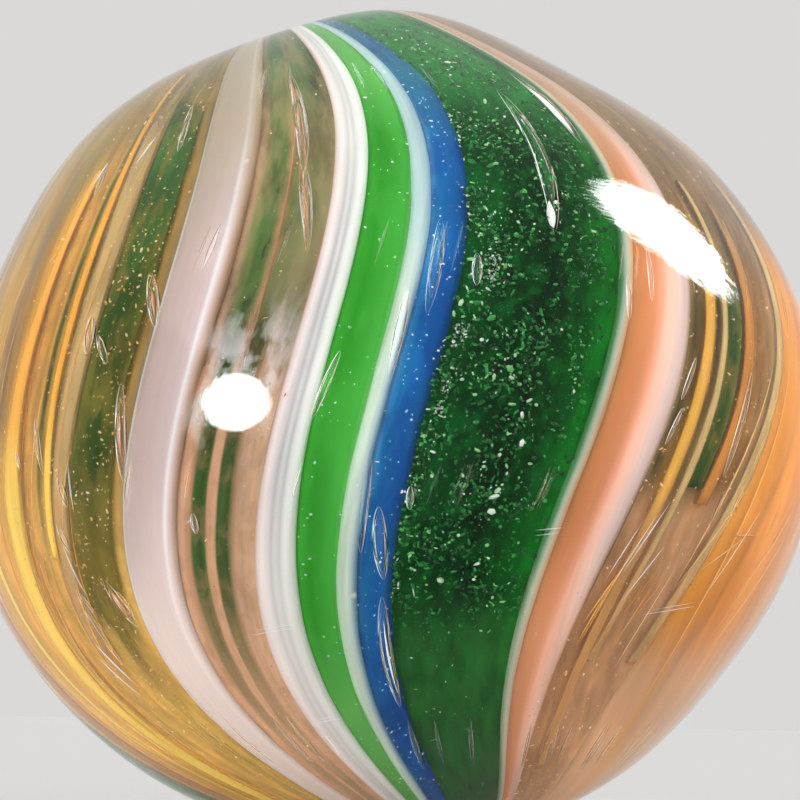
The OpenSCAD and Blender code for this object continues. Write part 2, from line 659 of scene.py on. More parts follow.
@dataclass(frozen=True)
class Milk(Glass):
    """Milky coloured glass whose colour changes across the band, in lines drawn out along it."""

    # Colour stops across the band, from its left edge, 0, to its right edge, 1
    across: Stops
    # Colour that it turns to towards a pole, how much, and between which heights. A lower colour lighter than
    # the band is painted light from below.
    upper: tuple[str, float, float, float] | None = None
    lower: tuple[str, float, float, float] | None = None
    # How much lighter and darker its lines are, how fine, and how long
    streak: float = 0.25
    fineness: float = 4.0
    stretch: float = 14.0
    # How far the lines wander across the band, as a share of its width
    waver: float = 0.06
    speck_colour: str = "fff6e0"
    speck_share: float = 0.0
    speck_fineness: float = 3.0
    speck_size: float = 0.28
    # Colour of its patches, how much of it they take on, how fine and how long they are
    mottle: tuple[str, float, float, float] | None = None
    # Opacity in its middle, and the shares of its width over which its edges fade
    body: float = 1.0
    fade_left: float = 0.0
    fade_right: float = 0.0
    # Heights over which its lower and upper ends fade
    fade_lower: tuple[float, float] | None = None
    fade_upper: tuple[float, float] | None = None
    roughness: float = 0.35
    seed: float = 0.0

    # How much of a speck's colour shows, and the values between which patches set in
    SPECK_COVER = 0.85
    PATCH_EDGE = (0.44, 0.62)
    # Fineness and length of its coarse lines, as shares of the fine ones'
    COARSE = (0.3, 0.5)
    # What is added to the seed for the fine lines and for the patches
    FINE_TURN, PATCH_TURN = 3.7, 9.1
    # How far the fine lines mostly stray from a half
    REACH = 0.25
    # How ragged its ends are, in height, and how uneven its opacity is
    RAGGED_ENDS = 0.25
    UNEVEN_BODY = 1.6

    def shade(self, make: Maker, shared: Patterns) -> dict[str, Socket]:
        """Adds the nodes, which read the band's UV map and its drawn attribute.

        Args:
            make: the maker of the material's tree.
            shared: the node groups that glasses share.

        Returns:
            What goes to each input of the material's output.
        """
        across, share_up, _ = make.separate(make.add("ShaderNodeUVMap", uv_map="UVMap").outputs[0])
        height = make.fused(share_up, 2.0, -1.0)
        coarser, shorter = self.COARSE
        coarse = shared.lines(make, self.fineness * coarser, self.stretch * shorter, self.seed)
        fine = shared.lines(make, self.fineness, self.stretch, self.seed + self.FINE_TURN)
        shift = make.times(make.minus(coarse, 0.5), self.waver * 2)
        colour = make.ramp(make.plus(across, shift), self.across)
        # Colours towards the poles: a lighter lower colour is painted light from below, and the right rim's
        # dark upper colour is a painted reflection
        for ends, sign in ((self.upper, 1.0), (self.lower, -1.0)):
            if ends is not None:
                hue, most, near, far = ends
                toward = make.span(make.times(height, sign), near, far)
                colour = make.blend(make.times(toward, most), colour, linear(hue))
        if self.mottle is not None:
            hue, most, fineness, stretch = self.mottle
            patches = shared.lines(make, fineness, stretch, self.seed + self.PATCH_TURN)
            patch = make.span(patches, *self.PATCH_EDGE)
            colour = make.blend(make.times(patch, most), colour, linear(hue))
        colour = make.scaled(colour, make.around(fine, self.streak / self.REACH, 1.0))
        if self.speck_share > 0:
            size = {"Fineness": self.speck_fineness, "Share": self.speck_share, "Size": self.speck_size}
            dots = make.group(shared.specks, {"Drawn": make.drawn(), **size}).outputs[0]
            colour = make.blend(make.times(dots, self.SPECK_COVER), colour, linear(self.speck_colour))
        surface = {"Base Color": colour, "Roughness": self.roughness, "Specular IOR Level": 0.0}
        factors = self.opacity(make, across, height, fine)
        if factors:
            surface["Alpha"] = make.times(*factors)
        return {"Surface": make.add("ShaderNodeBsdfPrincipled", surface).outputs[0]}

    def opacity(self, make: Maker, across: object, height: object, fine: object) -> list[Socket]:
        """Returns the factors of its opacity, or none where it is opaque all over.

        Args:
            make: the maker of the material's tree.
            across: the place across the band, from 0 to 1.
            height: the height along the ball.
            fine: the fine lines.

        Returns:
            The factors, which are to be multiplied.
        """
        factors = []
        if self.fade_left > 0:
            factors.append(make.span(across, 0.0, self.fade_left))
        if self.fade_right > 0:
            factors.append(make.span(across, 1.0, 1.0 - self.fade_right))
        ragged = make.around(fine, self.RAGGED_ENDS, height)
        if self.fade_lower is not None:
            factors.append(make.span(ragged, *self.fade_lower))
        if self.fade_upper is not None:
            factors.append(make.span(ragged, *reversed(self.fade_upper)))
        if self.body < 1:
            uneven = (make.minus(fine, 0.5), self.UNEVEN_BODY, self.body)
            factors.append(make.math("MULTIPLY_ADD", *uneven, clamp=True))
        return factors


@dataclass(frozen=True)
class Grain(Glass):
    """Opaque glass of threads and chips, whose colour differs from one to the next. Some of it makes painted
    highlights and reflections.
    """

    colours: Stops
    roughness: float = 0.3
    specular: float = 0.3
    # How fine its own cloudiness is, in clouds a metre
    cloudiness: float = 6000.0

    # How much the clouds lighten it, and how light it is without them
    CLOUDS, DARKEST = 0.5, 0.75

    def shade(self, make: Maker, shared: Patterns) -> dict[str, Socket]:
        """Adds the nodes, which read each thread's or chip's own tint.

        Args:
            make: the maker of the material's tree.
            shared: the node groups that glasses share, which it doesn't use.

        Returns:
            What goes to each input of the material's output.
        """
        tint = make.add("ShaderNodeAttribute", attribute_name="tint").outputs["Fac"]
        place = make.add("ShaderNodeTexCoord").outputs["Object"]
        cloud = make.fused(make.noise(place, self.cloudiness), self.CLOUDS, self.DARKEST)
        colour = make.scaled(make.ramp(tint, self.colours), cloud)
        surface = {"Base Color": colour, "Roughness": self.roughness, "Specular IOR Level": self.specular}
        return {"Surface": make.add("ShaderNodeBsdfPrincipled", surface).outputs[0]}


@dataclass(frozen=True)
class Air(Glass):
    """The wall of a bubble, seen from inside the glass."""

    ior: float = 0.67

    def shade(self, make: Maker, shared: Patterns) -> dict[str, Socket]:
        """Adds the nodes."""
        return {"Surface": self.glazed(make, {})}

    def glazed(self, make: Maker, more: dict) -> Socket:
        """Adds a polished surface that lamps' light passes unbent, so that what it holds is lit.

        Args:
            make: the maker of the material's tree.
            more: further inputs of the shader.

        Returns:
            The socket of the surface.
        """
        glass = {"Base Color": WHITE, "Roughness": 0.0, "IOR": self.ior, "Transmission Weight": 1.0}
        bent = make.add("ShaderNodeBsdfPrincipled", {**glass, **more}).outputs[0]
        unbent = make.add("ShaderNodeBsdfTransparent", {0: WHITE}).outputs[0]
        ray = make.add("ShaderNodeLightPath").outputs["Is Shadow Ray"]
        return make.add("ShaderNodeMixShader", {0: ray, 1: bent, 2: unbent}).outputs[0]


@dataclass(frozen=True)
class ClearGlass(Air):
    """Clear, polished glass with a faint straw colour and fine lines in its surface."""

    straw: str = "fff4d8"
    density: float = 12.0
    ior: float = 1.5
    # How strongly it mirrors straight on, as a share of plain glass
    sheen: float = 0.35
    # Strengths of the broad ridges and the fine scratches
    ridge: float = 0.05
    scratch: float = 0.02

    # Fineness, length and seed of the ridges and of the scratches, and their heights in metres
    RIDGES, RIDGE_HEIGHT = (1.6, 7.0, 1.0), 0.0001
    SCRATCHES, SCRATCH_HEIGHT = (16.0, 9.0, 5.0), 0.00002

    def shade(self, make: Maker, shared: Patterns) -> dict[str, Socket]:
        """Adds the nodes. The glass inside takes up a little light.

        Args:
            make: the maker of the material's tree.
            shared: the node groups that glasses share.

        Returns:
            What goes to each input of the material's output.
        """
        ridges, scratches = (shared.lines(make, *kind) for kind in (self.RIDGES, self.SCRATCHES))
        broad = {"Height": ridges, "Strength": self.ridge, "Distance": self.RIDGE_HEIGHT}
        normal = make.add("ShaderNodeBump", broad).outputs[0]
        fine = {"Height": scratches, "Strength": self.scratch, "Distance": self.SCRATCH_HEIGHT}
        bump = make.add("ShaderNodeBump", {**fine, "Normal": normal})
        tint = (self.sheen, self.sheen, self.sheen, 1.0)
        surface = self.glazed(make, {"Specular Tint": tint, "Normal": bump.outputs[0]})
        straw = make.add("ShaderNodeVolumeAbsorption", {"Color": linear(self.straw), "Density": self.density})
        return {"Surface": surface, "Volume": straw.outputs[0]}


@dataclass
class Skin:
    """The clear body of the ball."""

    ball: Ball
    # Points along each side of the cube that the ball is rounded from
    points: int = 81

    def tree(self) -> Tree:
        """Builds the tree that rounds a cube into the ball.

        Returns:
            The tree.
        """
        make, given, out = new_tree(
            "marble_skin",
            "Geometry",
            {"Points": self.points, "Material": "Material"},
            {"Geometry": "Geometry"},
        )
        counts = {f"Vertices {axis}": given["Points"] for axis in "XYZ"}
        cube = make.add("GeometryNodeMeshCube", {"Size": (2.0, 2.0, 2.0), **counts})
        place = make.add("GeometryNodeInputPosition").outputs[0]
        # The tangent spreads the points evenly over the ball
        even = [make.math("TANGENT", make.times(c, math.pi / 4)) for c in make.separate(place)]
        way = make.vector("NORMALIZE", make.combine(*even))
        x, y, z = make.separate(way)
        height = make.math("DIVIDE", make.math("ARCSINE", z), math.pi / 2)
        # The band that passes here crosses the belly at this longitude
        twist = {"Lean": self.ball.lean, "Bow": self.ball.bow, "Hook": self.ball.hook}
        sway = make.math("RADIANS", self.ball.sway(make, height, twist))
        lon = make.math("ARCTAN2", x, make.times(y, -1.0))
        source = make.math("DEGREES", make.minus(lon, sway))
        drawn = make.group(self.ball.way_tree, {"Longitude": source, "Height": height}).outputs["Drawn"]
        marked = make.store(cube.outputs["Mesh"], "drawn", drawn, "FLOAT_VECTOR")
        skin = make.group(self.ball.skin_tree, {"Way": way, "Depth": 0.0}).outputs[0]
        return make.finish(out, make.placed(marked, skin), given["Material"])

    def build(self, shared: Patterns) -> None:
        """Builds the clear ball, which stands for the CAD node.

        Args:
            shared: the node groups that glasses share.
        """
        glass = ClearGlass("clear_glass", Slot.CLEAR)
        values = {"Points": self.points, "Material": glass.material(shared)}
        keep(grown("marble_glass", self.tree(), values), glass.slot, NODE)


@dataclass(frozen=True)
class Piece:
    """One piece of one glass, made by several runs of one tree."""

    name: str
    glass: Glass
    parts: tuple[Part, ...]

    def build(self, tree: Tree, shared: Patterns) -> None:
        """Runs the tree for each part and joins what comes out.

        Args:
            tree: the tree that makes a part.
            shared: the node groups that glasses share.
        """
        material = self.glass.material(shared)
        made = []
        for i, part in enumerate(self.parts):
            values = {**part.inputs(), "Material": material}
            made.append(grown(f"{self.name}_{i}", tree, values, part.wall()))
        keep(joined(self.name, made), self.glass.slot)


@dataclass(frozen=True)
class Band(Part):
    """One band of coloured glass under the skin."""

    left: Edge
    right: Edge
    start: float = -1.0
    end: float = 1.0
    depth: float = 0.2
    thick: float = 0.3
    seed: int = 0
    # How far its edges waver, in degrees
    waver: float = 0.25

    # Widest facet, in degrees, and the fewest and the most points across
    FACET = 1.2
    FEWEST_ACROSS, MOST_ACROSS = 3, 24
    # Rows of points along a whole band, and the fewest along a short one
    ALONG, FEWEST_ALONG = 150, 24
    # How often its edges waver, and where the noise is read for each seed and for each edge
    WAVES = 5.0
    SEED_STEP = 1.37
    EDGE_STEPS = {"Left": 0.0, "Right": 7.3}
    # How close points at the poles are joined, in metres
    GAP = 1e-6

    def inputs(self) -> dict[str, float]:
        """Returns the tree's inputs, with the band's columns and rows of points.

        Returns:
            The value of each input by its name.
        """
        width = self.right.longitude - self.left.longitude
        columns = max(self.FEWEST_ACROSS, min(self.MOST_ACROSS, round(width / self.FACET) + 2))
        rows = max(self.FEWEST_ALONG, round(self.ALONG * (self.end - self.start) / 2))
        values = {**super().inputs(), "Columns": columns, "Rows": rows}
        # The thickness goes to wall instead
        del values["Thick"]
        return values

    def wall(self) -> float:
        """Returns its thickness in metres."""
        return self.thick * MM

    @staticmethod
    def tree(ball: Ball) -> Tree:
        """Builds the tree that lays one band along the swirl, from edge to edge and end to end.

        Args:
            ball: the ball that the band lies in.

        Returns:
            The tree.
        """
        make, given, out = Band(Edge(0.0), Edge(0.0)).start_tree("swirl_band")
        counts = {"Vertices X": given["Columns"], "Vertices Y": given["Rows"]}
        grid = make.add("GeometryNodeMeshGrid", {"Size X": 1.0, "Size Y": 1.0, **counts})
        x, y, _ = make.separate(make.add("GeometryNodeInputPosition").outputs[0])
        across, share = make.plus(x, 0.5), make.plus(y, 0.5)
        height = make.fused(share, make.minus(given["End"], given["Start"]), given["Start"])
        edges = []
        # The two edges waver apart, since they read the noise at different places
        for side, step in Band.EDGE_STEPS.items():
            place = make.combine(height, make.times(given["Seed"], Band.SEED_STEP), step)
            loose = make.times(make.minus(make.noise(place, Band.WAVES), 0.5), given["Waver"])
            edges.append(make.plus(Edge.at(make, given, side, height), loose))
        longitude = make.fused(make.minus(edges[1], edges[0]), across, edges[0])
        place, drawn = ball.place(make, longitude, height, given["Depth"])
        flat = make.combine(across, make.fused(height, 0.5, 0.5), 0.0)
        mapped = make.store(grid.outputs["Mesh"], "UVMap", flat, "FLOAT2", "CORNER")
        shaped = make.placed(make.store(mapped, "drawn", drawn, "FLOAT_VECTOR"), place)
        return make.finish(out, make.closed(shaped, Band.GAP), given["Material"])


@dataclass(frozen=True)
class Scatter(Part):
    """Chips scattered in a band."""

    count: int
    left: Edge
    right: Edge
    start: float = -0.95
    end: float = 0.95
    # Above 1, more chips lie near the left edge
    lopsided: float = 1.0
    depth: float = 0.12
    spread: float = 0.1
    # How strongly they gather in clumps, from 0 to 1
    clump: float = 0.0
    size: float = 0.03
    # How many times its width the longest chip is long
    long: float = 1.5
    seed: int = 0

    # What is added to the seed for each trait of a chip
    TURNS = {
        "height": 0, "across": 11, "depth": 22, "stay": 33, "tint": 44, "turn": 55, "size": 66, "long": 77,
    }
    # Fineness of the clumps, its share along the band, and the values between which they set in
    CLUMP_FINENESS, CLUMP_ALONG = 1.1, 0.6
    CLUMP_EDGE = (0.42, 0.6)
    FULL_TURN = (6.28, 6.28, 6.28)
    # Smallest size before the power that makes small ones common is taken, and how flat all are
    SMALLEST = 0.35
    MANY_SMALL = 2.0
    FLATNESS = 0.45

    @staticmethod
    def tree(ball: Ball) -> Tree:
        """Builds the tree that scatters small chips of glass or mica in a band.

        Args:
            ball: the ball that the chips lie in.

        Returns:
            The tree.
        """
        make, given, out = Scatter(100, Edge(0.0), Edge(0.0)).start_tree("flecks")
        seed, turns = given["Seed"], Scatter.TURNS
        points = make.add("GeometryNodePoints", {"Count": given["Count"]}).outputs[0]
        height = make.chance(seed, turns["height"], given["Start"], given["End"])
        left, right = (Edge.at(make, given, side, height) for side in ("Left", "Right"))
        across = make.math("POWER", make.chance(seed, turns["across"]), given["Lopsided"])
        longitude = make.fused(across, make.minus(right, left), left)
        depth = make.fused(make.chance(seed, turns["depth"]), given["Spread"], given["Depth"])
        place, drawn = ball.place(make, longitude, height, depth)
        points = make.placed(points, place)
        # Fewer chips stay near the poles, where the band is narrow, and outside the clumps
        narrow = make.math("COSINE", make.times(height, math.pi / 2))
        x, y, z = make.separate(drawn)
        place = make.combine(x, y, make.times(z, Scatter.CLUMP_ALONG))
        clouds = make.noise(place, Scatter.CLUMP_FINENESS)
        thick = make.span(clouds, *Scatter.CLUMP_EDGE)
        wanted = make.times(narrow, make.fused(make.minus(thick, 1.0), given["Clump"], 1.0))
        gone = make.math("GREATER_THAN", make.chance(seed, turns["stay"]), wanted)
        dropped = {"Geometry": points, "Selection": gone}
        points = make.add("GeometryNodeDeleteGeometry", dropped, domain="POINT").outputs[0]
        points = make.store(points, "tint", make.chance(seed, turns["tint"]))
        lump = {"Segments": 5, "Rings": 3, "Radius": 1.0}
        chip = make.add("GeometryNodeMeshUVSphere", lump).outputs["Mesh"]
        any_turn = {0: (0.0, 0.0, 0.0), 1: Scatter.FULL_TURN, 8: make.plus(seed, float(turns["turn"]))}
        turn = make.add("FunctionNodeRandomValue", any_turn, data_type="FLOAT_VECTOR").outputs[0]
        rotation = make.add("FunctionNodeEulerToRotation", {0: turn}).outputs[0]
        # Small chips are more common than large ones, and all are flat
        grade = make.math("POWER", make.chance(seed, turns["size"], Scatter.SMALLEST), Scatter.MANY_SMALL)
        size = make.times(grade, given["Size"])
        length = make.times(size, make.chance(seed, turns["long"], 1.0, given["Long"]))
        scale = make.combine(size, length, make.times(size, Scatter.FLATNESS))
        chips = {"Points": points, "Instance": chip, "Rotation": rotation, "Scale": scale}
        laid = make.add("GeometryNodeInstanceOnPoints", chips)
        return make.finish(out, laid.outputs[0], given["Material"])


@dataclass(frozen=True)
class Drawn(Part):
    """Threads or bubbles drawn out along the swirl, between two longitudes."""

    low: float
    start: float
    end: float
    radius: float
    high: float | None = None
    count: int = 1
    slant: float = 0.0
    # How far it bows to the right in its middle, in degrees
    bulge: float = 0.0
    # How much shorter some are at each end, and how unlike their widths are
    ragged: float = 0.0
    unlike: float = 0.0
    taper: float = 0.5
    depth: float = 0.2
    spread: float = 0.0
    seed: int = 0
    rows: int = 28
    sides: int = 12

    # What is added to the seed for each trait of a thread
    TURNS = {"lon": 0, "from": 101, "to": 202, "wide": 303, "deep": 404, "tint": 505}
    # The power that rounds its bow, and how close points at its tips are joined, in metres
    ROUND = 0.6
    GAP = 2e-7

    def inputs(self) -> dict[str, float]:
        """Returns the tree's inputs. A single thread lies at its lower longitude."""
        return {**super().inputs(), "High": self.low if self.high is None else self.high}

    @staticmethod
    def tree(ball: Ball) -> Tree:
        """Builds the tree that draws out tapered threads or bubbles along the swirl.

        Args:
            ball: the ball that the threads lie in.

        Returns:
            The tree.
        """
        make, given, out = Drawn(0.0, -1.0, 1.0, 0.05).start_tree("swirl_threads")
        seed, turns = given["Seed"], Drawn.TURNS
        points = make.add("GeometryNodePoints", {"Count": given["Count"]}).outputs[0]
        chances = (make.chance(seed, turns[end]) for end in ("from", "to"))
        loose, tight = (make.times(given["Ragged"], chance) for chance in chances)
        traits = {
            "lon": make.chance(seed, turns["lon"], given["Low"], given["High"]),
            "from": make.plus(given["Start"], loose),
            "to": make.minus(given["End"], tight),
            "wide": make.fused(make.chance(seed, turns["wide"], -1.0), given["Unlike"], 1.0),
            "deep": make.fused(make.chance(seed, turns["deep"]), given["Spread"], given["Depth"]),
            "tint": make.chance(seed, turns["tint"]),
        }
        for name, trait in traits.items():
            points = make.store(points, name, trait)
        line = make.add("GeometryNodeCurvePrimitiveLine", {"Start": (0, 0, 0), "End": (0, 0, 1)}).outputs[0]
        line = make.add("GeometryNodeResampleCurve", {"Curve": line, "Count": given["Rows"]}).outputs[0]
        laid = make.add("GeometryNodeInstanceOnPoints", {"Points": points, "Instance": line})
        real = make.add("GeometryNodeRealizeInstances", {"Geometry": laid.outputs[0]}).outputs[0]
        own = {
            name: make.add("GeometryNodeInputNamedAttribute", {"Name": name}, data_type="FLOAT").outputs[0]
            for name in traits
        }
        factor = make.add("GeometryNodeSplineParameter").outputs["Factor"]
        # Points stand closer together towards the ends, where the taper is
        share = make.fused(make.math("COSINE", make.times(factor, math.pi)), -0.5, 0.5)
        height = make.fused(share, make.minus(own["to"], own["from"]), own["from"])
        middle = make.minus(share, 0.5)
        slanting = make.fused(middle, given["Slant"], own["lon"])
        swollen = make.math("MAXIMUM", make.minus(1.0, make.times(middle, middle, 4.0)), 0.0)
        longitude = make.fused(make.math("POWER", swollen, Drawn.ROUND), given["Bulge"], slanting)
        place, drawn = ball.place(make, longitude, height, own["deep"])
        marked = make.store(make.placed(real, place), "drawn", drawn, "FLOAT_VECTOR")
        full = make.math("POWER", swollen, given["Taper"])
        radius = make.times(full, own["wide"], given["Radius"])
        circle = {"Resolution": given["Sides"], "Radius": 1.0}
        ring = make.add("GeometryNodeCurvePrimitiveCircle", circle).outputs[0]
        tube = {"Curve": marked, "Profile Curve": ring, "Scale": radius, "Fill Caps": True}
        tube = make.add("GeometryNodeCurveToMesh", tube).outputs[0]
        return make.finish(out, make.closed(tube, Drawn.GAP), given["Material"])


def spread(*stops: tuple[float, str]) -> Stops:
    """Turns colour stops at longitudes into stops across the band that they span."""
    low, high = stops[0][0], stops[-1][0]
    return tuple(((lon - low) / (high - low), colour) for lon, colour in stops)


# In many of these glasses a lower colour lighter than the band is painted light from below, over the glass's
# own colour
LILAC = Milk(
    "lilac_milk", Slot.LILAC,
    (
        (0.0, "8a7a58"), (0.02, "dcdcd4"), (0.05, "bba89e"), (0.16, "c2aea8"), (0.4, "ccb7b2"),
        (0.6, "d2bfbc"), (0.73, "dccaca"), (0.79, "fffafc"), (0.85, "e6d2d0"), (0.92, "d0ae9a"),
        (1.0, "b08c6c"),
    ),
    # Its near-white lower end is painted light from below
    upper=("aaa284", 0.75, 0.06, 0.42), lower=("fff0ea", 0.85, 0.12, 0.45), streak=0.05, waver=0.03,
    speck_share=0.02,
)
WHITE_EDGE = Milk(
    "white_and_grey_threads", Slot.WHITE,
    (
        (0.0, "c09c84"), (0.06, "ecd8d2"), (0.18, "f8eeee"), (0.3, "e4dcdc"), (0.4, "c4c0c0"),
        (0.5, "dedcdc"), (0.6, "c4c4c4"), (0.7, "eeecec"), (0.85, "fcfbf9"), (0.95, "e6f2e2"),
        (1.0, "9ccf96"),
    ),
    upper=("f6f4ee", 0.3, 0.1, 0.3), lower=("fdf6f2", 0.55, 0.1, 0.42), streak=0.08, fineness=6.0,
    waver=0.04, seed=2.0,
)
GRASS = Milk(
    "grass_green_milk", Slot.GREEN,
    (
        (0.0, "54aa48"), (0.12, "389a2e"), (0.35, "2a8a22"), (0.6, "38962e"), (0.88, "46a43e"),
        (0.96, "74c470"), (1.0, "b0dcaa"),
    ),
    upper=("7cc068", 0.5, 0.28, 0.5), lower=("80c86e", 0.6, 0.34, 0.55), streak=0.06, fineness=1.6,
    waver=0.05, speck_colour="c8f0a0", speck_share=0.05, speck_fineness=7.0,
    mottle=("4cb044", 0.3, 1.4, 2.0), seed=4.0,
)
WHITE_RIGHT = Milk(
    "white_thread", Slot.WHITE,
    ((0.0, "a8d0a4"), (0.2, "cfe2cc"), (0.5, "dde8dc"), (0.7, "c4d4d0"), (0.85, "9cb8c0"), (1.0, "5c8cac")),
    upper=("a4c4d0", 0.6, 0.04, 0.2), streak=0.15, fineness=5.0, speck_share=0.05, seed=6.0,
)
BLUE = Milk(
    "deep_blue_milk", Slot.BLUE,
    (
        (0.0, "8cbcdc"), (0.14, "60a0cc"), (0.26, "2c80b8"), (0.38, "1a6ca6"), (0.6, "185fa0"),
        (0.85, "145490"), (1.0, "0e4468"),
    ),
    upper=("2c7480", 0.7, 0.26, 0.45), lower=("1a50a4", 0.5, 0.26, 0.5), streak=0.22, fineness=3.0,
    waver=0.16, speck_colour="9cc8ec", speck_share=0.14, speck_fineness=9.0,
    mottle=("0c3c84", 0.5, 2.0, 2.6), seed=8.0,
)
BOTTLE = Milk(
    "bottle_green", Slot.BOTTLE,
    (
        (0.0, "0a6028"), (0.1, "054a18"), (0.3, "02340e"), (0.55, "012008"), (0.72, "033c0c"),
        (0.84, "065c14"), (0.93, "0a7c1c"), (1.0, "149024"),
    ),
    upper=("2c9440", 0.75, 0.3, 0.5), lower=("2f6c30", 0.8, 0.28, 0.42), streak=0.4, fineness=3.0,
    stretch=2.5, waver=0.12, speck_colour="1f9a3c", speck_share=0.16, speck_fineness=11.0, speck_size=0.32,
    mottle=("0a6a24", 0.4, 3.2, 1.3), seed=10.0,
)
GREY_LINE = Milk(
    "grey_green_thread", Slot.GREY,
    ((0.0, "4c8850"), (0.2, "8ea890"), (0.45, "bcc0b0"), (0.7, "c6b898"), (1.0, "c49a70")),
    lower=("c8c4b0", 0.5, 0.2, 0.4), streak=0.12, seed=12.0,
)
SALMON = Milk(
    "salmon_milk", Slot.SALMON,
    (
        (0.0, "c09468"), (0.1, "be8454"), (0.24, "cc8454"), (0.42, "d8946a"), (0.52, "eca888"),
        (0.6, "f8c8b0"), (0.72, "f6d0c0"), (0.82, "e8d2ca"), (0.93, "d4bcb4"), (0.98, "a89080"),
        (1.0, "706044"),
    ),
    upper=("b8a088", 0.75, 0.2, 0.45), lower=("f4b088", 0.4, 0.2, 0.4), streak=0.1, fineness=3.0,
    waver=0.05, seed=14.0,
)
AMBER = Milk(
    "amber_glass", Slot.AMBER,
    ((0.0, "c08c30"), (0.25, "f2b048"), (0.5, "fcbe54"), (0.75, "f0ac48"), (1.0, "bc8430")),
    upper=("b89850", 0.6, 0.16, 0.42), lower=("ffe068", 0.9, 0.02, 0.2), streak=0.12, fineness=3.0,
    fade_left=0.3, fade_right=0.3, seed=16.0,
)
GOLD_LINE = Milk(
    "golden_line_glass", Slot.AMBER,
    ((0.0, "a8782c"), (0.25, "dca848"), (0.5, "e8b658"), (0.8, "d49c44"), (1.0, "94702c")),
    lower=("c09060", 0.85, 0.13, 0.24), streak=0.14, fineness=3.0, fade_left=0.2, fade_right=0.25,
    fade_upper=(0.14, 0.3), seed=17.0,
)
HONEY = Milk(
    "honey_glass", Slot.AMBER,
    ((0.0, "a0642c"), (0.3, "c88838"), (0.55, "cc8a3c"), (0.8, "b87834"), (1.0, "8c5c28")),
    upper=("a89070", 0.7, 0.1, 0.26), streak=0.14, fineness=3.0, mottle=("a87038", 0.4, 1.2, 4.0),
    fade_upper=(0.2, 0.3), fade_left=0.2, fade_right=0.2, seed=18.0,
)
SAND = Milk(
    "sand_glass", Slot.AMBER, ((0.0, "a88c54"), (0.3, "ccb078"), (0.6, "d4b880"), (1.0, "ac8c58")),
    upper=("b49c74", 0.6, 0.14, 0.3), lower=("d0a070", 0.6, 0.12, 0.3), streak=0.2, fineness=3.0,
    stretch=5.0, mottle=("b09860", 0.4, 1.6, 3.0), fade_lower=(-0.5, -0.3), fade_upper=(0.3, 0.44),
    fade_left=0.25, fade_right=0.25, seed=20.0,
)
OLIVE = Milk(
    "olive_glass", Slot.OLIVE,
    ((0.0, "5c6828"), (0.2, "344e14"), (0.55, "2c4610"), (0.8, "4c5a1e"), (1.0, "70682c")),
    upper=("35602c", 0.75, 0.0, 0.26), lower=("8a7228", 0.7, 0.12, 0.3), streak=0.36, fineness=2.5,
    stretch=3.0, waver=0.2, speck_colour="c8a048", speck_share=0.16, speck_fineness=6.0,
    mottle=("847434", 0.5, 2.2, 2.6), fade_lower=(-0.44, -0.3), fade_upper=(0.34, 0.48), fade_left=0.08,
    fade_right=0.14, seed=22.0,
)
LEFT_RIM = Milk(
    "left_rim_glass", Slot.AMBER,
    spread(
        (-76, "a08844"), (-66, "a88c44"), (-62, "bc9848"), (-58.6, "dcb85c"), (-57, "c49c48"),
        # The mauve-grey stops at -53.4 and -52.2 are painted shade: a clear gap painted as the dark
        # surroundings seen through it
        (-55.8, "cca458"), (-54.8, "b0945c"), (-53.4, "887464"), (-52.2, "907a54"), (-51.2, "a08040"),
        (-50.4, "b4843c"), (-49.6, "dca444"), (-48.4, "f0b44c"), (-47.2, "e4a848"), (-46.4, "b88038"),
    ),
    upper=("8c7a3c", 0.85, 0.14, 0.36), lower=("fcc654", 0.85, 0.02, 0.22), streak=0.26, fineness=2.0,
    stretch=6.0, waver=0.03, mottle=("b88c3c", 0.45, 0.9, 3.0), seed=23.0,
)
LEFT_BED = Milk(
    "left_flank_glass", Slot.AMBER,
    spread(
        (-46.6, "cc9440"), (-45.4, "d8a450"), (-44.6, "d09c4c"), (-43.8, "b88848"), (-43.2, "d4a850"),
        (-42.8, "6c6430"), (-42.4, "4a5226"), (-42.0, "a08440"), (-41.2, "d0a04c"), (-40.4, "c0944c"),
        (-39.9, "a08448"), (-38.6, "c4a86c"), (-37.4, "bc9c60"), (-36.6, "cca458"), (-36.0, "7c7838"),
        (-35.3, "465822"), (-33.5, "3c5018"), (-31.5, "4c5a20"), (-30.4, "806c2c"), (-29.7, "605a24"),
        (-28.9, "ac8848"), (-28.3, "a08858"), (-27.2, "ac8c6c"),
    ),
    upper=("7e7248", 0.8, 0.22, 0.42), lower=("f0c468", 0.75, 0.1, 0.32), streak=0.34, fineness=2.0,
    stretch=4.0, waver=0.03, speck_colour="f4d898", speck_share=0.1, speck_fineness=5.0,
    mottle=("a8884c", 0.45, 2.0, 1.8), seed=24.0,
)
RIGHT_BED = Milk(
    "right_flank_glass", Slot.AMBER,
    spread(
        (34.8, "9c8064"), (35.3, "5c5032"), (36.0, "84744a"), (36.6, "4c4628"), (37.3, "6c6036"),
        (37.9, "94743c"), (38.8, "c09248"), (39.9, "866a38"), (40.5, "5c5230"), (41.0, "887646"),
        (41.8, "bca066"), (42.5, "948048"), (43.2, "827240"), (44.6, "7c6c3a"), (45.4, "a0743e"),
        (46.6, "b88244"), (47.6, "9c6e38"), (48.6, "7a5426"), (49.6, "8c6432"), (50.6, "805e32"),
        (51.8, "a87e4c"), (52.8, "bc9c64"), (54.0, "c4a870"), (54.8, "cc9448"),
    ),
    upper=("7c6850", 0.9, 0.13, 0.26), lower=("cc9c74", 0.85, 0.13, 0.2), streak=0.3, fineness=2.2,
    stretch=4.0, waver=0.03, speck_colour="f0e4cc", speck_share=0.1, speck_fineness=5.0,
    mottle=("a8804c", 0.4, 2.0, 1.8), seed=26.0,
)
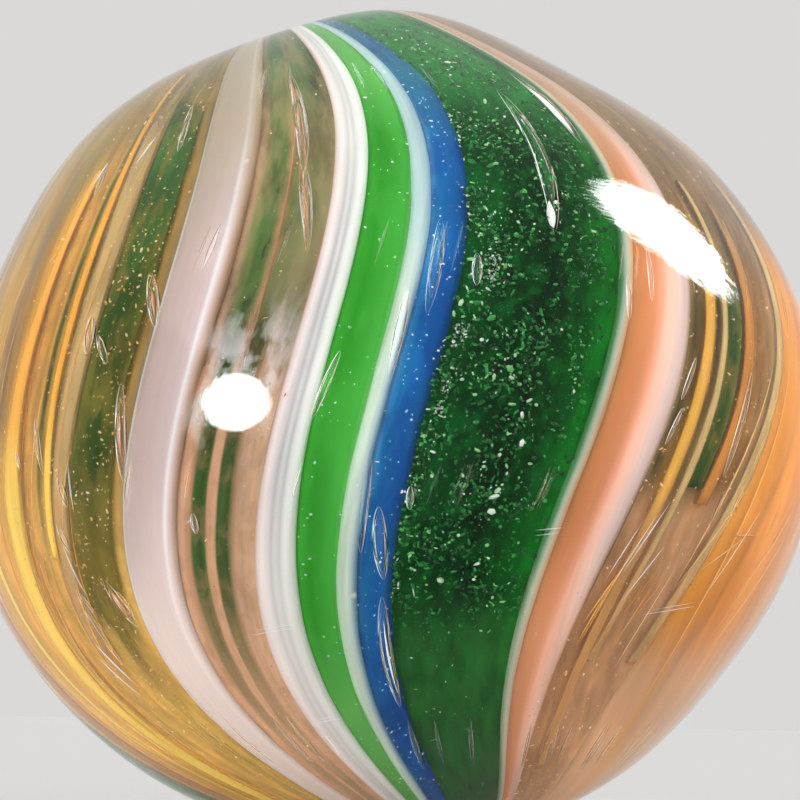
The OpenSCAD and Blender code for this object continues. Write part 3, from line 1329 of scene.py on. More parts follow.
RIGHT_RIM = Milk(
    "right_rim_glass", Slot.AMBER,
    spread(
        (54.4, "cc9448"), (55.4, "dc9434"), (57, "e09630"), (60, "dc8e2c"), (62, "c07a28"), (63, "dc8c2c"),
        (68, "d88c38"), (74, "c88c54"), (84, "b88c6c"),
    ),
    # Its dark upper colour is a painted reflection of dark surroundings at the limb, and its lighter lower
    # colour is painted light from below
    upper=("5c5048", 0.92, 0.16, 0.36), lower=("d8b08c", 0.85, 0.3, 0.44), streak=0.14, fineness=1.6,
    stretch=8.0, mottle=("e8a448", 0.4, 1.0, 4.0), seed=27.0,
)
WINDOW_LOW = Milk(
    "tan_and_green_lines", Slot.AMBER,
    spread(
        (-20.5, "cca080"), (-19.0, "dcae8c"), (-18.2, "b88c68"), (-17.8, "46602c"), (-16.8, "2c4c1c"),
        (-16.3, "4a602c"), (-16.0, "d0a482"), (-15.1, "d4a684"), (-14.8, "44582a"), (-13.6, "345022"),
        (-13.2, "8a7650"), (-12.6, "c8a284"), (-10.6, "d0ac8c"), (-9.6, "d8b8a0"), (-8.8, "d8b8a8"),
    ),
    lower=("ecbc96", 0.6, 0.26, 0.55), streak=0.22, fineness=4.0, stretch=8.0, waver=0.03,
    speck_colour="6c8844", speck_share=0.1, speck_fineness=8.0, mottle=("a88460", 0.3, 2.6, 1.6),
    fade_upper=(-0.06, 0.06), seed=28.0,
)
WINDOW_HIGH = Milk(
    "olive_veil", Slot.OLIVE,
    spread(
        (-20.5, "c09c80"), (-19.2, "c4a284"), (-18.4, "7c8050"), (-17.4, "506c38"), (-16.2, "5c723e"),
        (-15.4, "a88e64"), (-14.6, "747a4c"), (-12.6, "7c7c54"), (-10.6, "8c8660"), (-9.4, "a89878"),
        (-8.8, "c0ac94"),
    ),
    upper=("3c6c3c", 0.65, 0.3, 0.52), streak=0.25, fineness=2.2, stretch=3.0, waver=0.08,
    speck_colour="c8b080", speck_share=0.12, speck_fineness=8.0, mottle=("a8946c", 0.4, 1.8, 3.6),
    body=0.95, fade_lower=(-0.08, 0.08), seed=30.0,
)
FAR_OLIVE = Milk(
    "far_olive", Slot.OLIVE, ((0.0, "8a9458"), (0.5, "7a8a4c"), (1.0, "9a9a64")),
    lower=("dcb48a", 0.9, -0.1, 0.15), streak=0.3, fineness=1.5, waver=0.2, seed=32.0,
)
# A faint, uneven white veil just under the skin, across the place where the round highlight falls
WHITE_HAZE = Milk(
    "smear", Slot.WHITE, ((0.0, "ffffff"), (0.5, "fcfdff"), (1.0, "ffffff")), streak=0.02, fineness=1.7,
    stretch=1.5, waver=0.1, body=0.04, fade_left=0.3, fade_right=0.3, fade_lower=(-0.15, -0.06),
    fade_upper=(0.0, 0.1), roughness=0.5, seed=33.0,
)
MICA = Grain(
    "mica_chips", Slot.GREEN,
    (
        (0.0, "0c6424"), (0.45, "1a8434"), (0.65, "4cac50"), (0.8, "98d48c"), (0.93, "e0f4d8"),
        (1.0, "ffffff"),
    ),
    specular=0.15,
)
LEAF = Grain(
    "green_chips", Slot.GREEN, ((0.0, "043c12"), (0.4, "0a5a1c"), (0.7, "167a2a"), (1.0, "2c9a3c")),
)
FROST = Grain("pale_chips", Slot.WHITE, ((0.0, "9cc0e0"), (0.5, "d4e4f2"), (1.0, "ffffff")), specular=0.6)
ASH = Grain("ash_chips", Slot.GREEN, ((0.0, "6c8c70"), (0.4, "9cb09c"), (0.8, "d0dccc"), (1.0, "ffffff")))
COPPER = Grain(
    "copper_glint", Slot.AMBER, ((0.0, "b87c50"), (0.6, "dca47c"), (1.0, "f4cca8")), specular=0.5,
)
GOLD = Grain(
    "golden_chips", Slot.AMBER, ((0.0, "c08a3c"), (0.4, "e4b868"), (0.8, "f8dca8"), (1.0, "fff4e0")),
)
STRAW = Grain(
    "strand_glass", Slot.AMBER,
    ((0.0, "c4862c"), (0.3, "e8a43a"), (0.6, "fbc460"), (0.85, "f6d694"), (1.0, "fbeccc")),
)
# White glass for painted highlights: the bubbles' bright sides, the light caught in them and the bright
# streaks. The scratches in the skin are of it too
GLINT = Grain("bright_glint", Slot.WHITE, ((0.0, "ffffff"), (1.0, "fff8ee")), specular=0.5)
# Grey glass for the painted dull reflection along each bubble's right side
SHEEN = Grain("dull_glint", Slot.GREY, ((0.0, "cdb8ae"), (1.0, "d8d0c4")), specular=0.5)

# Every band of coloured glass, by glass, in order round the ball
BANDS = (
    Piece(
        "lilac_band", LILAC,
        (Band(Edge(-27.3, 0, 13), Edge(-19.8, 0, 10), seed=1), Band(Edge(122), Edge(131), seed=2)),
    ),
    Piece("white_edge_band", WHITE_EDGE, (Band(Edge(-9.9, 0, 4), Edge(-5.9, -2, -4), depth=0.14, seed=3),)),
    Piece(
        "green_band", GRASS,
        (
            Band(Edge(-6.3, -2, -4), Edge(-0.3, -1.5), seed=4), Band(Edge(98), Edge(108), seed=5),
            Band(Edge(233), Edge(243), seed=6),
        ),
    ),
    Piece(
        "white_threads", WHITE_RIGHT,
        (
            Band(Edge(-0.5, -1.5), Edge(1.7, -1.5), depth=0.14, seed=7, waver=0.8),
            Band(Edge(108), Edge(111), seed=8), Band(Edge(180), Edge(183), seed=38),
            Band(Edge(262), Edge(265), seed=9),
        ),
    ),
    Piece(
        "blue_band", BLUE,
        (
            Band(Edge(1.2, -1.5), Edge(6.1, -1.8), depth=0.24, seed=10, waver=0.7),
            Band(Edge(142), Edge(149), seed=11), Band(Edge(243), Edge(251), seed=12),
        ),
    ),
    Piece(
        "bottle_band", BOTTLE,
        (
            Band(Edge(5.4, -1.8), Edge(25.7, 2.3, 10), depth=0.36, seed=13),
            Band(Edge(265), Edge(278), seed=14),
        ),
    ),
    Piece(
        "grey_thread", GREY_LINE,
        (Band(Edge(24.9, 2.3, 10), Edge(26.3, 2.6, 11), depth=0.14, seed=15, waver=0.5),),
    ),
    Piece(
        "salmon_band", SALMON,
        (Band(Edge(25.9, 2.6, 11), Edge(35.4, 2.6, 32), seed=16), Band(Edge(212), Edge(222), seed=17)),
    ),
    Piece("left_rim_bed", LEFT_RIM, (Band(Edge(-76), Edge(-46.2, 1, 2), depth=0.35, seed=39),)),
    Piece("left_flank_bed", LEFT_BED, (Band(Edge(-46.5, 1, 2), Edge(-27.0, 0, 15), depth=0.35, seed=47),)),
    Piece(
        "right_flank_bed", RIGHT_BED, (Band(Edge(34.7, 2.6, 31), Edge(54.9, 13, 46), depth=0.35, seed=40),),
    ),
    Piece("right_rim_bed", RIGHT_RIM, (Band(Edge(54.4, 13, 46), Edge(84), depth=0.35, seed=48),)),
    Piece(
        "window_lines", WINDOW_LOW, (Band(Edge(-20.6, 0, 10), Edge(-8.8), end=0.1, depth=0.25, seed=34),),
    ),
    Piece(
        "window_veil", WINDOW_HIGH,
        (Band(Edge(-20.6, 0, 10), Edge(-8.8), start=-0.12, depth=0.35, seed=35),),
    ),
    Piece(
        "amber_strands", AMBER,
        (
            Band(Edge(-59, 2), Edge(-56.4, 3), -1, -0.2, depth=0.25, seed=18, waver=1.5),
            Band(Edge(-49.4, 9, 8), Edge(-45.7, 1, 2), -1, 0.3, seed=19, waver=0.8),
            Band(Edge(-41.1, 0, 9), Edge(-39.4, 0, 9), -0.26, 0.52, seed=43, waver=0.6),
            Band(Edge(82), Edge(89), seed=21), Band(Edge(195), Edge(202), seed=22),
        ),
    ),
    Piece(
        "golden_line", GOLD_LINE,
        (Band(Edge(37.7, 3, 28), Edge(40.0, 3, 30), -0.6, 0.32, seed=20, waver=0.4),),
    ),
    Piece(
        "honey_strands", HONEY,
        (
            Band(Edge(45.2, 5, 47), Edge(47.7, 6, 47), -0.17, 0.3, seed=24, waver=0.6),
            Band(Edge(288), Edge(295), seed=26),
        ),
    ),
    Piece(
        "sand_strips", SAND,
        (
            Band(Edge(-39.5, 1, 18), Edge(-35.6, 3, 18), -0.5, 0.5, depth=0.25, seed=27, waver=0.8),
            Band(Edge(40.8, 3, 37), Edge(42.3, 3, 38), -0.4, 0.3, seed=28, waver=0.6),
            Band(Edge(52.3, 12, 46), Edge(54.9, 13, 46), -0.4, 0.34, depth=0.25, seed=29, waver=0.8),
            Band(Edge(189), Edge(195), seed=30),
        ),
    ),
    Piece(
        "olive_strips", OLIVE,
        (
            Band(Edge(-36.0, 3, 18), Edge(-28.9, 0, 14), -0.44, 0.48, depth=0.3, seed=31, waver=0.8),
            # This strip, with its level ends, is painted shade: a dark patch where the dark surroundings show
            # through clear glass
            Band(Edge(42.2, 3, 40), Edge(45.4, 4, 44), -0.15, 0.14, depth=0.28, seed=32, waver=0.6),
            Band(Edge(170), Edge(180), seed=33),
        ),
    ),
    Piece(
        "far_bands", FAR_OLIVE, (Band(Edge(149), Edge(170), seed=36), Band(Edge(183), Edge(189), seed=37)),
    ),
    Piece("smear", WHITE_HAZE, (Band(Edge(-21.5), Edge(-8), -0.15, 0.11, depth=0.03, thick=0.01, seed=49),)),
)

# The chips in the bands. The numbers are Scatter's fields in order
CHIPS = (
    Piece(
        "bottle_flecks", MICA,
        (
            Scatter(3600, Edge(6, -1.8), Edge(22.5, 2, 10), -0.34, 0.6, 1.5, 0.12, 0.2, 0.85, 0.042, 2.2, 1),
            Scatter(260, Edge(6, -1.8), Edge(18, 1, 5), -0.3, 0.5, 1.4, 0.12, 0.15, 0.8, 0.075, 2.0, 2),
            Scatter(200, Edge(6.2, -1.8), Edge(22, 2, 10), -0.9, -0.3, 1.0, 0.15, 0.15, 0.5, 0.024, 5.0, 3),
            Scatter(900, Edge(265), Edge(278), -0.8, 0.8, 1.0, 0.05, 0.12, 0.6, 0.034, 2.0, 4),
        ),
    ),
    Piece(
        "bottle_leaf", LEAF,
        (
            Scatter(
                4600, Edge(5.8, -1.8), Edge(24.8, 2.5, 13), -0.36, 0.9, 1.15, 0.22, 0.12, 0.6, 0.05, 2.5, 5
            ),
        ),
    ),
    Piece(
        "ash_clusters", ASH,
        (
            Scatter(90, Edge(8.3), Edge(10.2), 0.08, 0.125, 1.0, 0.15, 0.15, 0, 0.04, seed=15),
            Scatter(60, Edge(6.8), Edge(8.2), -0.005, 0.03, 1.0, 0.15, 0.15, 0, 0.035, seed=16),
            Scatter(50, Edge(6.9), Edge(8.0), -0.085, -0.04, 1.0, 0.15, 0.15, 0, 0.035, seed=17),
            Scatter(40, Edge(6.6), Edge(7.6), -0.2, -0.17, 1.0, 0.15, 0.1, 0, 0.03, seed=18),
            Scatter(40, Edge(6.8), Edge(9.0), 0.15, 0.24, 1.0, 0.15, 0.15, 0, 0.035, seed=19),
        ),
    ),
    Piece(
        "pale_flecks", FROST,
        (
            Scatter(380, Edge(1.6, -1.5), Edge(6.2, -1.8), -0.9, 0.8, 1.0, 0.12, 0.1, 0.3, 0.03, 2.0, 6),
            Scatter(130, Edge(-6, -2, -4), Edge(0, -1.5), -0.8, 0.8, 1.0, 0.06, 0.08, 0.3, 0.034, 1.6, 7),
            Scatter(900, Edge(60), Edge(330), -0.85, 0.85, 1.0, 0.08, 0.2, 0.2, 0.022, 2.0, 8),
            Scatter(220, Edge(-30), Edge(36), -0.7, 0.8, 1.0, 0.06, 0.08, 0.2, 0.018, 2.5, 9),
        ),
    ),
    Piece(
        "golden_flecks", GOLD,
        (
            Scatter(
                800, Edge(-35.6, 3, 18), Edge(-28.6, 0, 14), -0.85, 0.2, 0.8, 0.12, 0.15, 0.5, 0.036, 2.2, 10
            ),
            Scatter(
                200, Edge(-35.6, 3, 18), Edge(-28.6, 0, 14), 0, 0.5, 0.8, 0.12, 0.15, 0.5, 0.03, 2.2, 20
            ),
            Scatter(600, Edge(-50, 6, 6), Edge(-36, 3, 18), -0.7, 0.6, 0.7, 0.08, 0.12, 0.3, 0.034, 2.4, 11),
            Scatter(
                500, Edge(34.8, 3, 38), Edge(56, 13, 46), -0.7, 0.4, 1.5, 0.08, 0.12, 0.3, 0.034, 2.5, 12
            ),
            Scatter(160, Edge(-20), Edge(-9), -0.7, 0.6, 1.0, 0.08, 0.12, 0.3, 0.03, 2.0, 13),
            Scatter(1200, Edge(80), Edge(300), -0.8, 0.8, 1.0, 0.08, 0.12, 0.5, 0.03, 2.0, 14),
        ),
    ),
)


@dataclass(frozen=True)
class Bubble:
    """A long air bubble, with painted reflections along its two sides: a bright highlight line and a dull
    line.
    """

    longitude: float
    start: float
    end: float
    radius: float
    slant: float = 0.0
    depth: float = 0.22
    taper: float = 0.5
    rim: float = 0.011

    # Where the painted lines run, as a share of its half width, and how far they rise above its middle
    RIM_AT = 0.92
    RIM_RISE = 0.35

    def body(self) -> Drawn:
        """Returns the bubble itself."""
        shape = {"slant": self.slant, "depth": self.depth, "taper": self.taper, "rows": 40, "sides": 14}
        return Drawn(self.longitude, self.start, self.end, self.radius, **shape)

    def side(self, ball: Ball, sign: int) -> Drawn:
        """Returns the painted reflection line along one side, the left where sign is -1 and the right where
        it is 1.

        Args:
            ball: the ball that the bubble lies in.
            sign: which side.

        Returns:
            The line.
        """
        bulge = sign * self.RIM_AT * math.degrees(self.radius * MM / ball.radius)
        depth = self.depth - self.radius * self.RIM_RISE
        shape = {"slant": self.slant, "bulge": bulge, "depth": depth, "taper": 0.3, "rows": 30, "sides": 5}
        return Drawn(self.longitude, self.start, self.end, self.rim, **shape)


BUBBLES = (
    # in the blue band and the white thread beside it
    Bubble(4.6, -0.294, -0.201, 0.15, -1.7, 0.23), Bubble(5.7, -0.482, -0.317, 0.15, -0.6, 0.23),
    Bubble(7.0, -0.204, -0.175, 0.07, -0.5, 0.2), Bubble(2.1, -0.26, -0.14, 0.09, -0.8, 0.2),
    Bubble(0.9, -0.06, 0.09, 0.1, -0.9, 0.18), Bubble(3.0, 0.04, 0.17, 0.13, -0.6, 0.2, 0.8, 0.006),
    # in the dark green band
    Bubble(16.0, 0.165, 0.42, 0.2, -0.4, 0.26, 0.8), Bubble(23.0, 0.325, 0.48, 0.17, -1.0, 0.24, 0.8),
    Bubble(7.6, 0.08, 0.124, 0.1, -0.6, 0.22),
    # the long spiky one left of the middle
    Bubble(-15.0, 0.24, 0.45, 0.15, -2.2, 0.24, 1.2), Bubble(-12.6, 0.12, 0.25, 0.1, -2.4, 0.22, 1.0),
    Bubble(-12.9, 0.135, 0.225, 0.06, -2.4, 0.16, 1.0),
    # at the left edge of the green band
    Bubble(-5.2, -0.095, -0.01, 0.08, 1.0, 0.14, 0.6),
    # in the left flank
    Bubble(-28.4, 0.03, 0.106, 0.14, -3.0, 0.2, 0.6), Bubble(-28.6, -0.163, -0.037, 0.13, -2.2, 0.2, 0.6),
    Bubble(-31.4, -0.358, -0.291, 0.17, -2.6, 0.22, 0.6),
    Bubble(-42.1, -0.139, -0.067, 0.08, -2.0, 0.16, 0.6),
    Bubble(-38.1, -0.42, -0.3, 0.1, -1.0, 0.18, 0.8), Bubble(-32.8, 0.3, 0.4, 0.09, -1.0, 0.18, 0.8),
    Bubble(-36.4, 0.006, 0.06, 0.13, -0.8, 0.2, 0.5), Bubble(-33.8, -0.01, 0.03, 0.1, -2.4, 0.2, 0.5),
    Bubble(-37.4, -0.19, -0.15, 0.09, -1.5, 0.18, 0.5), Bubble(-38.3, -0.25, -0.21, 0.08, -1.5, 0.18, 0.5),
    Bubble(-37.6, -0.34, -0.305, 0.08, -1.5, 0.18, 0.5), Bubble(-46.4, -0.13, -0.105, 0.06, -1.0, 0.16, 0.5),
    Bubble(-45.0, 0.25, 0.31, 0.09, -1.0, 0.16, 0.5), Bubble(-17.7, -0.234, -0.208, 0.08, -0.5, 0.16, 0.5),
    # in the salmon band
    Bubble(28.8, 0.085, 0.162, 0.06, -0.7, 0.12, 0.7, 0.01),
    Bubble(26.0, 0.055, 0.115, 0.06, -0.8, 0.12, 0.7, 0.01),
    # in the right flank
    Bubble(46.9, -0.13, 0.02, 0.1, 1.0, 0.2, 0.7), Bubble(36.4, -0.04, 0.02, 0.06, 1.0, 0.16, 0.7),
    Bubble(35.9, -0.1, -0.05, 0.05, 1.0, 0.16, 0.7),
)


def lines(*rows: tuple[float, ...], **common: float) -> tuple[Drawn, ...]:
    """Makes single threads that share some traits.

    Args:
        rows: the longitude, start, end, radius and slant of each thread.
        common: the traits that all of them have.

    Returns:
        The threads.
    """
    return tuple(Drawn(*row[:-1], slant=row[-1], **common) for row in rows)


SCRATCHES = lines(
    (-8.7, -0.369, -0.358, 0.008, 7.0), (-8.2, -0.362, -0.352, 0.006, 6.0),
    (-6.8, -0.511, -0.497, 0.009, 7.0), (-6.0, -0.503, -0.492, 0.006, 5.0),
    (45.3, -0.325, -0.305, 0.009, 10.0), (45.8, -0.317, -0.3, 0.006, 8.0),
    (23.8, -0.222, -0.216, 0.006, 3.6), (23.6, -0.229, -0.223, 0.005, 3.0), depth=0.012, sides=4,
)
# Painted highlights: white glass where light is caught in the big bubbles
CAUGHT_LIGHT = (
    Drawn(15.9, 0.168, 0.215, 0.09, slant=-0.3, depth=0.24, sides=8),
    Drawn(22.9, 0.345, 0.45, 0.1, slant=-0.8, depth=0.22, sides=8),
    Drawn(5.9, -0.46, -0.35, 0.03, slant=-0.6, depth=0.16, sides=6),
)
# Painted glints: bright streaks in the left flank, then in the right
PAINTED_GLINTS = lines(
    (-39.4, -0.45, -0.38, 0.03, -2.2), (-41.0, -0.47, -0.4, 0.022, -2.4), (-37.6, -0.31, -0.24, 0.02, -1.6),
    (-35.8, -0.2, -0.13, 0.018, -0.9), (-38.2, 0.29, 0.34, 0.03, 1.4), (-45.6, 0.27, 0.31, 0.026, 0.9),
    (54.0, -0.29, -0.16, 0.014, 5.0), (37.2, -0.27, -0.17, 0.016, 3.4), (36.0, -0.29, -0.19, 0.012, 3.0),
    (38.6, -0.31, -0.23, 0.014, 3.6), (34.6, -0.28, -0.2, 0.012, 2.4), depth=0.1, sides=5,
)
# Copper-coloured painted reflections along the edges of the spiky bubble, then amber glass in the bubbles at
# the left
COPPER_LINES = (
    *lines((-15.3, 0.22, 0.46, 0.018, -2.4), (-14.6, 0.2, 0.45, 0.013, -2.8), depth=0.14, taper=0.3, sides=5),
    *lines((-12.9, 0.12, 0.25, 0.02, -2.6), (-12.3, 0.11, 0.23, 0.014, -2.2), depth=0.12, taper=0.3, sides=5),
    Drawn(-15.5, -0.02, 0.4, 0.02, slant=-1.0, depth=0.3, taper=0.3, sides=5),
    *lines(
        (-29.0, -0.155, -0.06, 0.07, -1.8), (-31.9, -0.35, -0.3, 0.09, -2.0),
        (-28.9, 0.045, 0.095, 0.07, -2.4), depth=0.26, sides=8,
    ),
    Drawn(-36.8, 0.012, 0.055, 0.06, slant=-0.8, depth=0.24, sides=8),
)
# Fine strands in the flanks, short bright ones low in them, and those at the back. The numbers are
# Drawn's fields in order
STRANDS = (
    Drawn(-60, -0.9, 0.5, 0.016, -36, 12, 2, 0, 0.7, 0.5, 0.4, 0.1, 0.25, 1, 60, 5),
    Drawn(-50, -0.6, -0.1, 0.018, -36, 12, 3, 0, 0.2, 0.5, 0.5, 0.1, 0.2, 6, 40, 5),
    Drawn(34, -0.42, -0.2, 0.02, 42, 10, 4, 0, 0.08, 0.5, 0.5, 0.1, 0.2, 7, 30, 5),
    Drawn(44, -0.5, 0.1, 0.016, 64, 9, 8, 0, 0.3, 0.5, 0.5, 0.1, 0.2, 8, 40, 5),
    Drawn(76, -0.95, 0.95, 0.03, 298, 50, 2, 0, 0.8, 0.6, 0.4, 0.1, 0.25, 3, 60, 5),
)
# Small bubbles all round
SMALL_BUBBLES = (
    Drawn(-60, -0.6, -0.5, 0.05, 300, 60, 1.0, 0, 0.0, 0.5, 0.5, 0.1, 0.25, 21, 12, 8),
    Drawn(-60, -0.2, -0.14, 0.04, 300, 50, 0.6, 0, 0.0, 0.5, 0.5, 0.1, 0.25, 22, 12, 8),
    Drawn(-60, 0.1, 0.17, 0.045, 300, 50, 0.6, 0, 0.0, 0.5, 0.5, 0.1, 0.25, 23, 12, 8),
    Drawn(-60, 0.4, 0.48, 0.045, 300, 40, 0.6, 0, 0.0, 0.5, 0.5, 0.1, 0.25, 24, 12, 8),
    Drawn(76, -0.4, -0.1, 0.1, 298, 8, 2.0, 0, 0.1, 0.3, 0.7, 0.2, 0.1, 25, 24, 12),
    Drawn(76, 0.1, 0.4, 0.1, 298, 8, 2.0, 0, 0.1, 0.3, 0.7, 0.2, 0.1, 26, 24, 12),
)


def all_threads(ball: Ball) -> tuple[Piece, ...]:
    """Returns the thin strands, the bubbles, the painted highlight and reflection lines along the bubbles,
    the painted glints, and the scratches in the skin.

    Args:
        ball: the ball that they lie in.

    Returns:
        The pieces.
    """
    # Each bubble's sides: a painted highlight on the left, a painted dull reflection on the right
    left_highlights, right_reflections = (tuple(bubble.side(ball, sign) for bubble in BUBBLES) for sign in (-1, 1))
    bodies = tuple(bubble.body() for bubble in BUBBLES)
    return (
        Piece("strands", STRAW, STRANDS),
        Piece("bubbles", Air("bubble_air", Slot.CLEAR), bodies + SMALL_BUBBLES),
        Piece("bright_lines", GLINT, left_highlights + SCRATCHES + CAUGHT_LIGHT + PAINTED_GLINTS),
        Piece("copper_lines", COPPER, COPPER_LINES),
        Piece("dull_lines", SHEEN, right_reflections),
    )


def posed(right: Vector, up: Vector, back: Vector, place: Vector) -> Matrix:
    """Returns the matrix that stands a camera or a lamp at a place, by its three axes."""
    return Matrix.Translation(place) @ Matrix((right, up, back)).transposed().to_4x4()


def put_up(name: str, data: bpy.types.ID, matrix: Matrix, *unseen_by: str) -> bpy.types.Object:
    """Puts a camera or a lamp in the scene.

    Args:
        name: its name.
        data: what it is.
        matrix: how it stands.
        unseen_by: the kinds of ray that don't see it.

    Returns:
        The object.
    """
    thing = bpy.data.objects.new(name, data)
    thing.matrix_world = matrix
    for ray in unseen_by:
        setattr(thing, f"visible_{ray}", False)
    bpy.context.scene.collection.objects.link(thing)
    return thing


@dataclass(frozen=True)
class Camera:
    """The camera, which looks a little upwards at the ball from beside it."""

    # Distance from the ball's centre, in belly radii
    distance: float = 4.0
    elevation: float = -9.8
    # How far the upper pole leans to the right in the picture, in degrees
    roll: float = 1.1
    # Pixel of the picture that the ball's centre falls on
    centre_x_px: float = 385.3
    centre_y_px: float = 435.6
    # Distance of the picture, in pixels, that gives the ball its size in it
    focal_px: float = 1659.2
    sensor_mm: float = 36.0
    # Nearest and farthest that it sees, in metres
    near: float = 0.002
    far: float = 20.0

    def axes(self) -> tuple[Vector, Vector, Vector]:
        """Returns the picture's right, its up, and the way back towards the camera.

        Returns:
            The three directions, which are square to each other.
        """
        lift, lean = math.radians(self.elevation), math.radians(self.roll)
        back = Vector((0, -math.cos(lift), math.sin(lift)))
        right = Vector((1, 0, 0))
        up = back.cross(right)
        turned_up = up * math.cos(lean) - right * math.sin(lean)
        return right * math.cos(lean) + up * math.sin(lean), turned_up, back

    def place(self, ball: Ball) -> Vector:
        """Returns where the camera stands."""
        return self.axes()[2] * self.distance * ball.radius

    def ray(self, x_px: float, y_px: float) -> Vector:
        """Returns the direction in which the camera sees a pixel.

        Args:
            x_px: the pixel's distance from the left edge.
            y_px: its distance from the top edge.

        Returns:
            The direction, with a length of 1.
        """
        right, up, back = self.axes()
        way = right * (x_px - self.centre_x_px) - up * (y_px - self.centre_y_px) - back * self.focal_px
        return way.normalized()

    def mirrored(self, ball: Ball, x_px: float, y_px: float) -> tuple[Vector, Vector]:
        """Returns where a pixel's ray meets the ball and the direction it is mirrored in.

        Args:
            ball: the ball.
            x_px: the pixel's distance from the left edge.
            y_px: its distance from the top edge.

        Returns:
            The place and the direction.
        """
        squash = Vector((1, 1, 1 / ball.squatness)) / ball.radius
        start, way = self.place(ball), self.ray(x_px, y_px)
        flat_start, flat_way = start * squash, way * squash
        a, b = flat_way.dot(flat_way), flat_way.dot(flat_start)
        near = (-b - math.sqrt(b * b - a * (flat_start.dot(flat_start) - 1))) / a
        point = start + way * near
        normal = (point * squash * squash).normalized()
        return point, way - normal * (2 * way.dot(normal))

    def build(self, ball: Ball) -> None:
        """Builds the camera and makes it the scene's.

        Args:
            ball: the ball that it looks at.
        """
        data = bpy.data.cameras.new("camera")
        data.sensor_width = self.sensor_mm
        data.lens = self.focal_px / FRAME_PX * self.sensor_mm
        data.shift_x = (FRAME_PX / 2 - self.centre_x_px) / FRAME_PX
        data.shift_y = (self.centre_y_px - FRAME_PX / 2) / FRAME_PX
        data.clip_start, data.clip_end = self.near, self.far
        bpy.context.scene.camera = put_up("camera", data, posed(*self.axes(), self.place(ball)))


@dataclass(frozen=True)
class Softbox:
    """A soft lamp that stands where its reflection falls on given pixels of the ball."""

    name: str
    # Ends of the reflection's long axis and its width, in pixels
    start_px: tuple[float, float]
    end_px: tuple[float, float]
    width_px: float
    # Brightness of its face, where 1 is a white surface in plain light
    brightness: float
    distance: float = 0.45
    # Share of its half width at which its edge starts to fade, and how ragged the edge is
    soft: float = 0.8
    ragged: float = 0.0
    # Brightness of a faint ring at its rim, as a share of its own
    ring: float = 0.0

    # How finely its edge is ragged, across and along
    RAGS = (4.0, 16.0)
    # Where the face ends inside a ring, and where the ring sets in, as shares of the half width
    RINGED_END = 0.9
    RIM = (0.93, 0.96)

    def build(self, camera: Camera, ball: Ball) -> None:
        """Builds the lamp, facing the ball.

        Args:
            camera: the camera that sees its reflection.
            ball: the ball that mirrors it.
        """
        (x0, y0), (x1, y1) = self.start_px, self.end_px
        long_px = math.hypot(x1 - x0, y1 - y0)
        side_x, side_y = (y0 - y1) / long_px * self.width_px / 2, (x1 - x0) / long_px * self.width_px / 2
        mid_x, mid_y = (x0 + x1) / 2, (y0 + y1) / 2
        point, way = camera.mirrored(ball, mid_x, mid_y)
        ends = [camera.mirrored(ball, x, y)[1] for x, y in (self.start_px, self.end_px)]
        sides = [camera.mirrored(ball, mid_x + s * side_x, mid_y + s * side_y)[1] for s in (-1, 1)]
        data = bpy.data.lights.new(self.name, "AREA")
        data.shape = "ELLIPSE"
        data.size = 2 * self.distance * math.tan(ends[0].angle(ends[1]) / 2)
        data.size_y = 2 * self.distance * math.tan(sides[0].angle(sides[1]) / 2)
        data.energy = self.brightness * math.pi * data.size * data.size_y * math.pi / 4
        self.shade(data)
        back = way.normalized()
        along = ends[1] - ends[0]
        along = (along - back * along.dot(back)).normalized()
        stand = posed(along, back.cross(along), back, point + back * self.distance)
        lamp = put_up(self.name, data, stand, "camera", "transmission", "diffuse")
        place = tuple(round(c, 3) for c in lamp.location)
        LOG.info("%s: %.3f by %.3f m at %s", self.name, data.size, data.size_y, place)

    def shade(self, data: bpy.types.Light) -> None:
        """Fades the lamp's face towards its edge.

        Args:
            data: the lamp.
        """
        make = cleared(data)
        face = make.add("ShaderNodeNewGeometry").outputs["Parametric"]
        across, along, _ = make.separate(face)
        out_x, out_y = make.fused(across, 2.0, -1.0), make.fused(along, 2.0, -1.0)
        out = make.vector("LENGTH", make.combine(out_x, out_y, 0.0))
        place = make.combine(*(make.times(c, rag) for c, rag in zip((across, along), self.RAGS)), 0.0)
        loose = make.around(make.noise(place, 2.0, 3.0), self.ragged, out)
        face_light = make.span(loose, self.RINGED_END if self.ring else 1.0, self.soft)
        rim = make.times(make.span(out, *self.RIM), self.ring)
        shine = make.add("ShaderNodeEmission", {"Strength": make.math("MAXIMUM", face_light, rim)})
        make.add("ShaderNodeOutputLight", {"Surface": shine.outputs[0]})


@dataclass(frozen=True)
class Glow:
    """Light that comes up from the pale floor all round the ball."""

    radius: float = 0.035
    level: float = 1.9
    # How far it lies above the floor, in metres
    lift: float = 0.00005

    def build(self) -> None:
        """Builds the lamp, which lies on the floor and faces up."""
        low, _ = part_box(NODE)
        data = bpy.data.lights.new("floor_glow", "AREA")
        data.shape = "DISK"
        data.size = 2 * self.radius
        data.energy = self.level * math.pi * math.pi * self.radius**2
        up, right = Vector((0, 0, 1)), Vector((1, 0, 0))
        # A lamp shines along the back of its own third axis
        stand = posed(right, right.cross(up), -up, up * (low.z + self.lift))
        put_up("floor_glow", data, stand, "camera", "glossy", "transmission")


